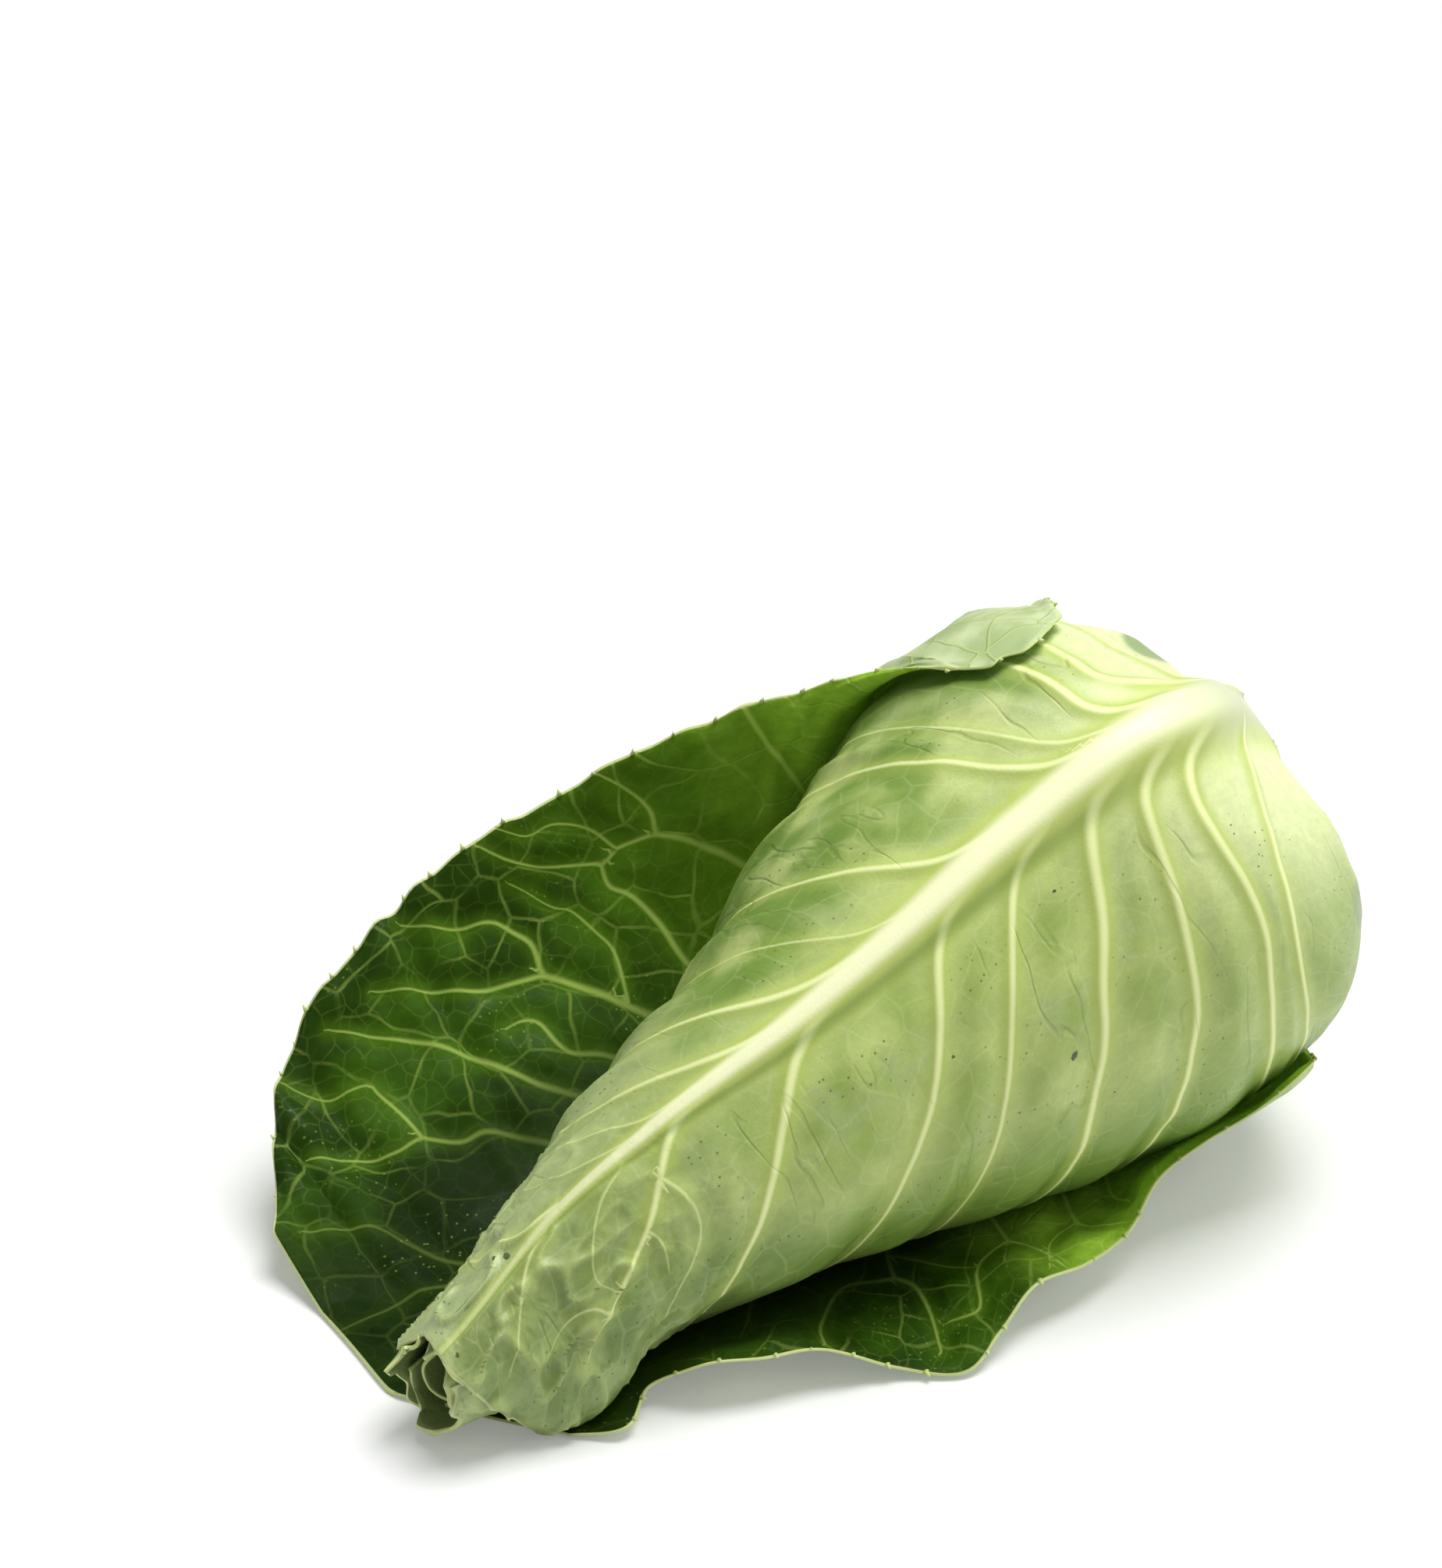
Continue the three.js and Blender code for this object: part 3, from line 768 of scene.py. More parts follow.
def wrapped_leaf(name, leaf, grid, crowding=CROWDING, flare=None):
    """Makes a leaf of the head. The outside of its blade carries the midrib, the
    side veins and the puckers between them, and its inner face lies on the layer below."""
    vein_height = bpy.context.scene.cabbage_sizes.vein_height / MM
    sheet = Sheet(name, *grid, crowding)
    t, v = sheet.t, sheet.v
    distance = leaf.distance(t, v)
    angle = leaf.angle(t, v)
    from_rib = angle - curve(leaf.midrib, t)
    across = head_radius(distance, angle) * np.radians(from_rib)
    offset, half_width = nearest_vein(distance, across, leaf.veins)
    rib_width = curve(leaf.rib_width, t)
    beside = np.abs(across / rib_width)
    rib = curve(leaf.rib_height, t) * (0.8 * np.exp(-beside ** 3) + 0.2 * np.exp(-(beside / 2) ** 2))
    vein = vein_height * half_width / STOUT_VEIN * np.exp(-(offset / (half_width + VEIN_FOOT)) ** 2)
    vein *= 1 - np.exp(-beside ** 3)
    ridge = crinkles(distance, across, beside)
    relief = blade_relief(distance, angle, across, offset, np.abs(from_rib), ridge)
    scale = tip_scale(distance)
    thickness = BLADE * scale + rib + vein
    lift = leaf.lift * scale + thickness + relief
    bow = 0 * lift if flare is None else flare(distance, angle)
    points = head_point(distance, angle, lift + bow)
    points[..., 2] = np.maximum(points[..., 2], leaf.clearance - BLADE * scale - FLARE_DROP * bow)
    flat = lengths_across(points)
    sheet.place(points)
    sheet.turn_over()
    sheet.flat_map(distance, flat)
    vein_attributes(sheet, offset, half_width)
    sheet.attribute("rib", across / rib_width)
    sheet.attribute("crinkle", ridge)
    # Where the wrapper leaf gets painted shadow from the loose leaf's fold.
    sheet.attribute("fold_shadow", fold_shadow_mask(distance, angle))
    sheet.attribute("along", distance / HEAD_LENGTH)
    sheet.attribute("margin", distance_to_margin(points, flat))
    sheet.thicken(thickness)
    return sheet.piece


def front_flare(distance, angle):
    """How far the front leaf's near margin bows out to the floor beside the tip."""
    beside_tip = smoothstep(distance, 205, 222) * smoothstep(distance, 244, 230)
    return FLARE_HEIGHT * beside_tip * smoothstep(angle, 95, 132)


def loose_leaf(grid):
    """Makes the loose leaf. Its upper side faces the head, and its underside carries the midrib."""
    pucker = bpy.context.scene.cabbage_sizes.pucker_height / MM
    sheet = Sheet("loose_outer_leaf", *grid)
    t, v = sheet.t, sheet.v
    points = outer_leaf_points(t, v)
    distance = outer_leaf_distance(t, v)
    flat = lengths_across(points)
    margin = distance_to_margin(points, flat)
    offset, half_width = nearest_vein(distance, flat, OUTER_VEINS)
    rib = curve(OUTER_RIB_HEIGHT, t) * np.exp(-(v / curve(OUTER_RIB_WIDTH, t)) ** 2)
    vein = np.exp(-(offset / (half_width + OUTER_VEIN_FOOT)) ** 2)
    open_blade = smoothstep(np.abs(flat), 18, 60)
    pillow = pucker * 0.55 * (1 - np.exp(-(offset / OUTER_PUCKER_FOOT) ** 2))
    waves = 0.7 * soft_noise(distance / 16, flat / 14, seed=12)
    waves += 0.35 * soft_noise(distance / 6, flat / 6, seed=14)
    relief = (pillow + waves) * open_blade * smoothstep(margin, 0, 5) + 0.25 * vein * open_blade
    points = points + relief[..., None] * grid_normals(points)
    points[..., 2] = np.maximum(points[..., 2], OUTER_LOWEST)
    sheet.place(points)
    sheet.flat_map(distance, flat)
    vein_attributes(sheet, offset, half_width)
    sheet.attribute("along", distance / HEAD_LENGTH)
    sheet.attribute("margin", margin)
    sheet.attribute("across", flat)
    blade = blend(OUTER_MARGIN_BLADE, BLADE, smoothstep(margin, 0, 8))
    sheet.thicken(blade + rib + 0.9 * half_width * vein * open_blade)
    return sheet.piece, points


def margin_teeth(points):
    """Small pale teeth along the two margins of the loose leaf, copies of one cone."""
    tooth_length = bpy.context.scene.cabbage_sizes.tooth_length / MM
    deselect_all()
    bpy.ops.mesh.primitive_cone_add(vertices=7, radius1=0.45, radius2=0.08, depth=1)
    cone = bpy.context.object
    cone.data.transform(Matrix.Translation((0, 0, 0.3)))
    shape = cone.data.copy()
    bpy.data.objects.remove(cone)
    random = np.random.default_rng(21)
    teeth = []
    for column, inner_column, gap in TEETH:
        edge = points[:, column]
        inner = points[:, inner_column]
        run = np.concatenate([[0], np.cumsum(np.linalg.norm(np.diff(edge, axis=0), axis=1))])
        place = TEETH_START
        while place < run[-1] - TEETH_END:
            row = int(np.argmin(np.abs(run - place)))
            length = tooth_length * random.uniform(0.6, 1.3)
            outward = Vector(edge[row] - inner[row]).normalized()
            turn = outward.to_track_quat("Z", "Y").to_matrix().to_4x4()
            mesh = shape.copy()
            mesh.transform(Matrix.Translation(Vector(edge[row]) * MM) @ turn @ Matrix.Scale(length * MM, 4))
            tooth = bpy.data.objects.new("margin_teeth", mesh)
            bpy.context.scene.collection.objects.link(tooth)
            teeth.append(tooth)
            place += gap * random.uniform(0.6, 1.5)
    deselect_all()
    for tooth in teeth:
        tooth.select_set(True)
    bpy.context.view_layer.objects.active = teeth[0]
    bpy.ops.object.join()
    teeth[0].name = "margin_teeth"
    return teeth[0]


def scroll_points(t, v):
    """The innermost leaf end, rolled into a scroll inside the mouth of the tip."""
    share = (v + 1) / 2
    ragged = soft_noise(3 * v + 20, 0 * v, seed=63)
    distance = blend(SCROLL_START, SCROLL_END - SCROLL_CORNER * np.abs(v) ** 1.5 + ragged, t)
    angle = SCROLL_ANGLE + SCROLL_TURN * share
    room = head_radius(distance, angle) + SIDE_LIFT * tip_scale(distance)
    return polar_point(distance, angle, room - SCROLL_GAP - SCROLL_STEP * share)


def shred_points(t, v):
    """A shred of a trimmed leaf left on the rim of the cut stem."""
    spread = SHRED_SPREAD * (1 - 0.6 * t * t)
    ragged = 0.5 * soft_noise(3 * v + 5, 2 * t, seed=31) * t
    distance = STEM_FACE - SHRED_TUCK - SHRED_LENGTH * t + ragged
    return polar_point(distance, SHRED_ANGLE + v * spread, STEM_RADIUS - SHRED_INSET - SHRED_DROOP * t * t)


def small_sheet(name, shape, grid):
    """Makes one of the small leaf ends from its formula."""
    sheet = Sheet(name, *grid, crowding=1)
    points = shape(sheet.t, sheet.v)
    points[..., 2] = np.maximum(points[..., 2], SMALL_LOWEST)
    sheet.place(points)
    sheet.turn_over()
    flat = lengths_across(points)
    along = (points - np.array(STEM_POLE)) @ np.array(ALONG_HEAD)
    sheet.flat_map(along, flat)
    sheet.attribute("along", along / HEAD_LENGTH)
    sheet.attribute("margin", distance_to_margin(points, flat))
    sheet.thicken(SMALL_BLADE + 0 * flat)
    return sheet.piece


def packed_heart():
    """The tight core of young leaves, which ends inside the hollow of the tip."""
    deselect_all()
    bpy.ops.mesh.primitive_uv_sphere_add(segments=144, ring_count=120, radius=1)
    piece = bpy.context.object
    piece.name = "packed_heart"
    ball = points_of(piece.data)
    angle = np.degrees(np.arctan2(ball[:, 1], ball[:, 0]))
    share = 1 - np.arccos(np.clip(ball[:, 2], -1, 1)) / np.pi
    distance = blend(HEART_START, HEART_END, share)
    room = head_radius(distance, angle) + (SIDE_LIFT - BLADE - HEART_GAP) * tip_scale(distance)
    round_end = np.sqrt(np.maximum(0, 1 - np.abs(2 * share - 1) ** 9))
    folds = HEART_FOLD * np.abs(soft_noise(angle / 14 + 30, distance / 30, seed=51))
    folds = folds * smoothstep(distance, 60, 200)
    points = polar_point(distance, angle, np.maximum(room - folds, 0.5) * round_end)
    points[:, 2] = np.maximum(points[:, 2], HEART_LOWEST)
    move_points(piece.data, points * MM)
    turn_outward(piece)
    return piece


def cut_stem():
    """The short stem, cut flat, with the ring of its wood and a soft middle in the cut."""
    deselect_all()
    bpy.ops.mesh.primitive_cylinder_add(vertices=64, radius=STEM_RADIUS, depth=STEM_LENGTH)
    piece = bpy.context.object
    piece.name = "cut_stem"
    bpy.ops.object.mode_set(mode="EDIT")
    bpy.ops.mesh.select_mode(type="FACE")
    bpy.ops.mesh.select_all(action="DESELECT")
    shape = bmesh.from_edit_mesh(piece.data)
    for face in shape.faces:
        face.select_set(face.normal.z > 0.9)
    bmesh.update_edit_mesh(piece.data)
    for thickness, depth in CUT_RINGS:
        bpy.ops.mesh.inset(thickness=thickness, depth=depth)
    bpy.ops.object.mode_set(mode="OBJECT")
    points = points_of(piece.data)
    rough = soft_noise(points[:, 0] / 3 + 40, points[:, 1] / 3 + 40, seed=17)
    in_cut = points[:, 2] > 3
    points[:, 2] += CUT_ROUGHNESS * rough * in_cut
    turn = Vector(-ALONG_HEAD).to_track_quat("Z", "Y").to_matrix()
    centre = STEM_POLE + ALONG_HEAD * (STEM_FACE + STEM_LENGTH / 2)
    points = points @ np.array(turn).T + np.array(centre)
    move_points(piece.data, points * MM)
    return piece


# ---------------------------------------------------------------- materials

ATTRIBUTE = "ShaderNodeAttribute"
BUMP = "ShaderNodeBump"
EMISSION = "ShaderNodeEmission"
LIGHT_PATH = "ShaderNodeLightPath"
MAP_RANGE = "ShaderNodeMapRange"
MATH = "ShaderNodeMath"
MIX = "ShaderNodeMix"
MIX_SHADER = "ShaderNodeMixShader"
NOISE = "ShaderNodeTexNoise"
TEXTURE_PLACE = "ShaderNodeTexCoord"
TRANSLUCENT = "ShaderNodeBsdfTranslucent"
UV_MAP = "ShaderNodeUVMap"
VECTOR_MATH = "ShaderNodeVectorMath"
VORONOI = "ShaderNodeTexVoronoi"

SMOOTH = {"interpolation_type": "SMOOTHSTEP"}

# The place of a Mix node's colour among its outputs.
COLOUR = 2

# Patterns are as large as their real ones: their scale is a metre over a size in millimetres.
METRE = 1000


def linear(hex_colour):
    """The linear RGBA value of an sRGB hex colour."""
    channels = [int(hex_colour[i:i + 2], 16) / 255 for i in (1, 3, 5)]
    values = [c / 12.92 if c <= 0.04045 else ((c + 0.055) / 1.055) ** 2.4 for c in channels]
    return (*values, 1.0)


def add(tree, kind, inputs=None, **settings):
    """Adds a node with its settings and links. An input is a plain value, another
    node's output, or another node, which stands for its first output."""
    node = tree.nodes.new(kind)
    for name, value in settings.items():
        setattr(node, name, value)
    for socket, value in (inputs or {}).items():
        if isinstance(value, bpy.types.Node):
            value = value.outputs[0]
        if isinstance(value, bpy.types.NodeSocket):
            tree.links.new(value, node.inputs[socket])
        else:
            node.inputs[socket].default_value = value
    return node


def new_material(name):
    """An empty material: the material, its node tree and its shader."""
    material = bpy.data.materials.new(name)
    material.use_nodes = True
    return material, material.node_tree, material.node_tree.nodes["Principled BSDF"]


# The leaves' attributes: "along" is a share of the head's length, "rib" counts from the
# midrib in the midrib's own widths, positive on the near side, "vein" counts from the nearest
# side vein in half its width, "crinkle" and "covered" are shares, and the rest are millimetres.

def past(tree, name, start, end, most=1.0, least=0.0):
    """A mask that goes smoothly from the least to the most while an attribute goes from
    start to end."""
    value = add(tree, ATTRIBUTE, attribute_name=name).outputs["Fac"]
    return add(tree, MAP_RANGE, {0: value, 1: start, 2: end, 3: least, 4: most}, **SMOOTH)


def band(tree, name, start, end):
    """A mask to both sides of a line: nothing at the first distance and full at the second."""
    line = add(tree, ATTRIBUTE, attribute_name=name).outputs["Fac"]
    away = add(tree, MATH, {0: line}, operation="ABSOLUTE")
    return add(tree, MAP_RANGE, {0: away, 1: start, 2: end}, **SMOOTH)


def cover(tree, under, colour, *masks):
    """Lays a colour over the one under it, as far as all of the masks let it show."""
    share = masks[0]
    for mask in masks[1:]:
        share = add(tree, MATH, {0: share, 1: mask}, operation="MULTIPLY")
    return add(tree, MIX, {0: share, 6: under, 7: colour}, data_type="RGBA").outputs[COLOUR]


def mottled(tree, flat, colour, spread):
    """A colour that turns lighter and darker in spots of three millimetres."""
    spots = add(tree, NOISE, {"Vector": flat, "Scale": METRE / 3, "Detail": 4, "Roughness": 0.7})
    level = add(tree, MAP_RANGE, {0: spots, 1: 0.3, 2: 0.7, 3: 1 - spread, 4: 1 + spread})
    mix = add(tree, MIX, {0: 1.0, 6: colour, 7: level}, data_type="RGBA", blend_type="MULTIPLY")
    return mix.outputs[COLOUR]


def wandering(tree, flat, size, reach):
    """Flat places shifted unevenly by up to a reach, which bends the lines of a pattern."""
    wander = add(tree, NOISE, {"Vector": flat, "Scale": METRE / size, "Detail": 2})
    return add(tree, VECTOR_MATH, {0: wander.outputs["Color"], 1: reach, 2: flat}, operation="MULTIPLY_ADD")


def vein_net(tree, flat, cell, line):
    """The mask of a net of small veins, from its cell size and line width in millimetres."""
    bent = wandering(tree, flat, 1.7 * cell, (0.8 * cell * MM,) * 3)
    net = add(tree, VORONOI, {"Vector": bent, "Scale": METRE / cell},
              feature="DISTANCE_TO_EDGE", voronoi_dimensions="2D")
    return add(tree, MAP_RANGE, {0: net, 1: line / cell, 2: 0.2 * line / cell}, **SMOOTH)


def side_veins(tree, start, end):
    """The mask of the side veins. Their attribute also passes through nought halfway
    between two veins, so only what lies near a vein counts."""
    line = band(tree, "vein", start, end)
    near = past(tree, "vein_gap", 1.3, 0.9)
    return add(tree, MATH, {0: line, 1: near}, operation="MULTIPLY")


def patches(tree, flat, size, low, high):
    """The mask of soft clouds of a given width in millimetres, from one noise level to another."""
    clouds = add(tree, NOISE, {"Vector": flat, "Scale": METRE / size, "Detail": 3, "Roughness": 0.55})
    return add(tree, MAP_RANGE, {0: clouds, 1: low, 2: high}, **SMOOTH)


def specks(tree, flat, spacing, size, cluster):
    """The mask of small round specks that come in clusters, sizes in millimetres."""
    dots = add(tree, VORONOI, {"Vector": flat, "Scale": METRE / spacing}, voronoi_dimensions="2D")
    spot = add(tree, MAP_RANGE, {0: dots, 1: size / spacing, 2: 0.5 * size / spacing}, **SMOOTH)
    return add(tree, MATH, {0: spot, 1: patches(tree, flat, cluster, 0.5, 0.6)}, operation="MULTIPLY")


def hair_lines(tree, flat, size, line, cluster):
    """The mask of thin lines that wander over a blade in groups, sizes in millimetres."""
    wander = add(tree, NOISE, {"Vector": flat, "Scale": METRE / size, "Detail": 2, "Roughness": 0.45})
    off = add(tree, MATH, {0: wander, 1: 0.5}, operation="SUBTRACT")
    off = add(tree, MATH, {0: off}, operation="ABSOLUTE")
    hair = add(tree, MAP_RANGE, {0: off, 1: 0.9 * line / size, 2: 0.1 * line / size}, **SMOOTH)
    return add(tree, MATH, {0: hair, 1: patches(tree, flat, cluster, 0.48, 0.6)}, operation="MULTIPLY")


def blemish(tree, flat, along, across, radius):
    """The mask of one ragged mark at a place on a leaf laid flat, in millimetres."""
    raggedness = 1.6
    ragged = wandering(tree, flat, 1.2, (raggedness * MM, raggedness * MM, 0))
    middle = ((along + raggedness / 2) * MM, (across + raggedness / 2) * MM, 0)
    away = add(tree, VECTOR_MATH, {0: ragged, 1: middle}, operation="DISTANCE").outputs["Value"]
    return add(tree, MAP_RANGE, {0: away, 1: radius * MM, 2: 0.6 * radius * MM}, **SMOOTH)


def grain(tree, shader, place, size, depth, strength, detail=2, roughness=0.5):
    """Lets a fine grain stand out of a surface, sizes in millimetres, and gives its pattern."""
    pattern = add(tree, NOISE, {"Vector": place, "Scale": METRE / size, "Detail": detail,
                                "Roughness": roughness})
    bump = add(tree, BUMP, {"Strength": strength, "Distance": depth * MM, "Height": pattern})
    tree.links.new(bump.outputs[0], shader.inputs["Normal"])
    return pattern


def leaf_relief(tree, shader, flat, lines, rise, depth):
    """Fine relief of a blade: lines that stand out or lie sunk, and a grain of under a millimetre."""
    fine = add(tree, NOISE, {"Vector": flat, "Scale": METRE / 0.7, "Detail": 2})
    fine = add(tree, MATH, {0: fine, 1: 0.3}, operation="MULTIPLY")
    height = add(tree, MATH, {0: lines, 1: rise, 2: fine}, operation="MULTIPLY_ADD")
    bump = add(tree, BUMP, {"Strength": 0.5, "Distance": depth * MM, "Height": height})
    tree.links.new(bump.outputs[0], shader.inputs["Normal"])


def let_light_through(tree, shader, share):
    """Makes a thin leaf translucent, so that light on one side glows green on the other."""
    through = add(tree, TRANSLUCENT, {"Color": bpy.context.scene.cabbage_colours.glow})
    both = add(tree, MIX_SHADER, {0: share, 1: shader, 2: through})
    tree.links.new(both.outputs[0], tree.nodes["Material Output"].inputs["Surface"])


def wrapper_blade(tree, look, flat, bloom, dome_paleness):
    """The colours of a wrapper leaf's blade: clouds, wax bloom, paler at the stem, painted shade
    on the dome's edge, beyond the midrib, low down and under the loose leaf's fold, and greyer at the
    crinkled tip."""
    clouds = patches(tree, flat, 24, 0.38, 0.6)
    blade = cover(tree, look.wrapper_light, look.wrapper_deep_and_dome_shade,
                  clouds, past(tree, "vein_near", 1, 8, least=0.1), 0.75)
    blade = cover(tree, blade, look.wrapper_bloom, bloom, 0.6)
    to_stem = past(tree, "along", 0.42, 0.1, most=0.9)
    off_dome = past(tree, "rib", 9.5, 3, least=dome_paleness)
    dome_edge_shade = past(tree, "rib", 9.5, 3, least=1 - dome_paleness, most=0)
    blade = cover(tree, blade, look.wrapper_pale, to_stem, off_dome)
    # Painted shade on the dome's edge, away from the midrib near the stem.
    blade = cover(tree, blade, look.wrapper_deep_and_dome_shade, to_stem, dome_edge_shade, 0.7)
    # Painted shade beyond the midrib, between the stem and the tip.
    far_side = past(tree, "rib", -2, -5)
    past_stem = past(tree, "along", 0.2, 0.4)
    before_tip = past(tree, "along", 0.8, 0.6)
    blade = cover(tree, blade, look.wrapper_far_shade, far_side, clouds, past_stem, before_tip)
    # Painted shade low down on the head, deepest along its bottom.
    blade = cover(tree, blade, look.wrapper_far_shade, past(tree, "rib", 11, 16, most=0.6))
    blade = cover(tree, blade, look.wrapper_fold_and_low_shade, past(tree, "rib", 14.5, 18, most=0.65))
    # Painted shadow under the loose leaf's fold.
    fold_shadow = add(tree, ATTRIBUTE, attribute_name="fold_shadow").outputs["Fac"]
    blade = cover(tree, blade, look.wrapper_fold_and_low_shade, fold_shadow, 0.75)
    to_tip = past(tree, "along", 0.6, 0.9, most=0.85)
    tip_clouds = patches(tree, flat, 9, 0.36, 0.62)
    tip_colour = cover(tree, look.wrapper_tip, look.tip_deep_and_mouth_shade, tip_clouds)
    blade = cover(tree, blade, tip_colour, to_tip)
    blade = cover(tree, blade, look.wrapper_tip_far, past(tree, "rib", -0.5, -4, most=0.7), to_tip)
    blade = cover(tree, blade, look.rib_tip, past(tree, "crinkle", 0.2, 0.9, most=0.45))
    blade = mottled(tree, flat, blade, 0.1)
    return cover(tree, blade, look.wrapper_pale, vein_net(tree, flat, 9, 0.45), 0.1)


def wrapper_lines(tree, look, blade):
    """A wrapper leaf's cream side veins and its midrib, each with a paler blade beside it. The midrib's
    low side is yellower, partly painted shade, with painted shade below it and at its bend to the stem.
    """
    blade = cover(tree, blade, look.halo, band(tree, "rib", 2.2, 0.85), 0.75)
    size = add(tree, ATTRIBUTE, attribute_name="vein_size").outputs["Fac"]
    thick = add(tree, MAP_RANGE, {0: size, 1: 0.3, 2: 1.4, 3: 0.15, 4: 0.8})
    blade = cover(tree, blade, look.fringe, band(tree, "vein_near", 4.6, 0.8), thick)
    strength = add(tree, MAP_RANGE, {0: size, 1: 0.25, 2: 1.0, 3: 0.3, 4: 0.9})
    blade = cover(tree, blade, look.vein, side_veins(tree, 1.15, 0.1), strength)
    # Painted shade in a line below the midrib's low side.
    below_rib = past(tree, "rib", 1.9, 1.15, most=0.5)
    on_near_side = past(tree, "rib", 0.7, 1.1)
    past_stem = past(tree, "along", 0.2, 0.4)
    blade = cover(tree, blade, look.wrapper_far_shade, below_rib, on_near_side, past_stem)
    # The midrib is yellower on its low side, partly its own colour and partly painted shade.
    rib_colour = cover(tree, look.rib, look.rib_low_side, past(tree, "rib", 0.1, 0.85))
    rib_colour = cover(tree, rib_colour, look.rib_tip, past(tree, "along", 0.7, 1.0, most=0.9))
    # Painted shade where the midrib bends down to the stem.
    rib_colour = cover(tree, rib_colour, look.rib_bend_shade, past(tree, "along", 0.27, 0.11, most=0.85))
    blade = cover(tree, blade, rib_colour, band(tree, "rib", 1.2, 0.45))
    return cover(tree, blade, look.rim, past(tree, "margin", 0.9, 0.4, most=0.7))


def wrapper_underside(name, dome_paleness, lobes=(), scars=()):
    """The underside of a cabbage leaf that wraps the head: thin, waxy and pale, so
    it is soft and matte with broad dull highlights, and its veins are cream."""
    look = bpy.context.scene.cabbage_colours
    material, tree, shader = new_material(name)
    flat = add(tree, UV_MAP)
    bloom = patches(tree, flat, 15, 0.52, 0.72)
    off_rib = band(tree, "rib", 2, 3.5)
    drawn_out = add(tree, VECTOR_MATH, {0: flat, 1: (1, 0.3, 1)}, operation="MULTIPLY")
    crease = add(tree, MATH, {0: hair_lines(tree, drawn_out, 9, 0.3, 20), 1: off_rib}, operation="MULTIPLY")
    blade = wrapper_blade(tree, look, flat, bloom, dome_paleness)
    # Darker lines in the creases, a painted shade in them.
    blade = cover(tree, blade, look.crease, crease, 0.16)
    blade = cover(tree, blade, look.speck, specks(tree, flat, 3.6, 0.34, 22), off_rib, 0.8)
    # Grey-green lobes, their grey partly painted shade, and real scars.
    for colour, places in ((look.wrapper_shaded_lobe, lobes), (look.scar, scars)):
        for place in places:
            blade = cover(tree, blade, colour, blemish(tree, flat, *place))
    blade = wrapper_lines(tree, look, blade)
    tree.links.new(blade, shader.inputs["Base Color"])
    gloss = add(tree, MAP_RANGE, {0: bloom, 3: 0.42, 4: 0.6})
    tree.links.new(gloss.outputs[0], shader.inputs["Roughness"])
    shader.inputs["Specular IOR Level"].default_value = 0.4
    to_tip = past(tree, "along", 0.6, 0.9, most=0.85)
    wrinkles = add(tree, MATH, {0: hair_lines(tree, flat, 6, 1.2, 14), 1: to_tip}, operation="MULTIPLY")
    lines = add(tree, MATH, {0: crease, 1: wrinkles}, operation="MAXIMUM")
    leaf_relief(tree, shader, flat, lines, -1, 0.4)
    return material


def loose_upper(name):
    """The upper side of the loose leaf: grown in full sun, dark green and leathery,
    with a thin wax film whose bluish sheen is partly painted, and pale veins. Painted light
    lies on it near the stem and inside its fold, and painted shade deep beside the head."""
    look = bpy.context.scene.cabbage_colours
    sizes = bpy.context.scene.cabbage_sizes
    material, tree, shader = new_material(name)
    flat = add(tree, UV_MAP)
    wax = patches(tree, flat, 19, 0.5, 0.66)
    blade = cover(tree, look.loose_dark, look.loose_green, patches(tree, flat, 28, 0.4, 0.62))
    # Bluish wax patches, partly real wax and partly a painted sheen.
    blade = cover(tree, blade, look.loose_wax_and_sheen, wax, 0.2)
    # Painted light on the loose leaf towards the stem.
    blade = cover(tree, blade, look.loose_lit_and_halo, past(tree, "along", 0.6, 0.32, most=0.95))
    # Painted light that shines through the leaf inside its fold and by the dome; its veins there are painted
    # lighter too.
    in_light = 0
    for side, start, end, most in ((-1, 0.55, 0.44, 0.95), (1, 0.44, 0.33, 0.9)):
        half = past(tree, "across", 20 * side, 45 * side)
        by_stem = past(tree, "along", start, end, most)
        half = add(tree, MATH, {0: half, 1: by_stem}, operation="MULTIPLY")
        blade = cover(tree, blade, look.loose_painted_glow, half)
        in_light = add(tree, MATH, {0: in_light, 1: half}, operation="MAXIMUM")
    vein_colour = cover(tree, look.loose_vein, look.loose_vein_lit, in_light)
    blade = mottled(tree, flat, blade, 0.2)
    blade = cover(tree, blade, vein_colour, vein_net(tree, flat, sizes.fine_cell / MM, 0.3), 0.1)
    net = vein_net(tree, flat, sizes.net_cell / MM, 0.65)
    net = add(tree, MATH, {0: net, 1: patches(tree, flat, 16, 0.3, 0.6)}, operation="MULTIPLY")
    blade = cover(tree, blade, vein_colour, net, 0.33)
    blade = cover(tree, blade, look.loose_lit_and_halo, band(tree, "vein_near", 4, 0.6), 0.28)
    vein = side_veins(tree, 0.9, 0.05)
    size = add(tree, ATTRIBUTE, attribute_name="vein_size").outputs["Fac"]
    strength = add(tree, MAP_RANGE, {0: size, 1: 0.3, 2: 0.9, 3: 0.5, 4: 0.9})
    blade = cover(tree, blade, vein_colour, vein, strength)
    # Painted shade deep beside the head.
    beside_head = past(tree, "along", 0.42, 0.6, most=0.78)
    blade = cover(tree, blade, look.loose_painted_shade, band(tree, "across", 66, 40), beside_head)
    blade = cover(tree, blade, look.rim, band(tree, "margin", 0.7, 0.3))
    blade = cover(tree, blade, vein_colour, specks(tree, flat, 3.4, 0.35, 40), 0.35)
    tree.links.new(blade, shader.inputs["Base Color"])
    gloss = add(tree, MAP_RANGE, {0: wax, 3: 0.6, 4: 0.42})
    tree.links.new(gloss.outputs[0], shader.inputs["Roughness"])
    shader.inputs["Specular IOR Level"].default_value = 0.06
    lines = add(tree, MATH, {0: net, 1: vein}, operation="MAXIMUM")
    leaf_relief(tree, shader, flat, lines, -1, 0.3)
    let_light_through(tree, shader, 0.13)
    return material


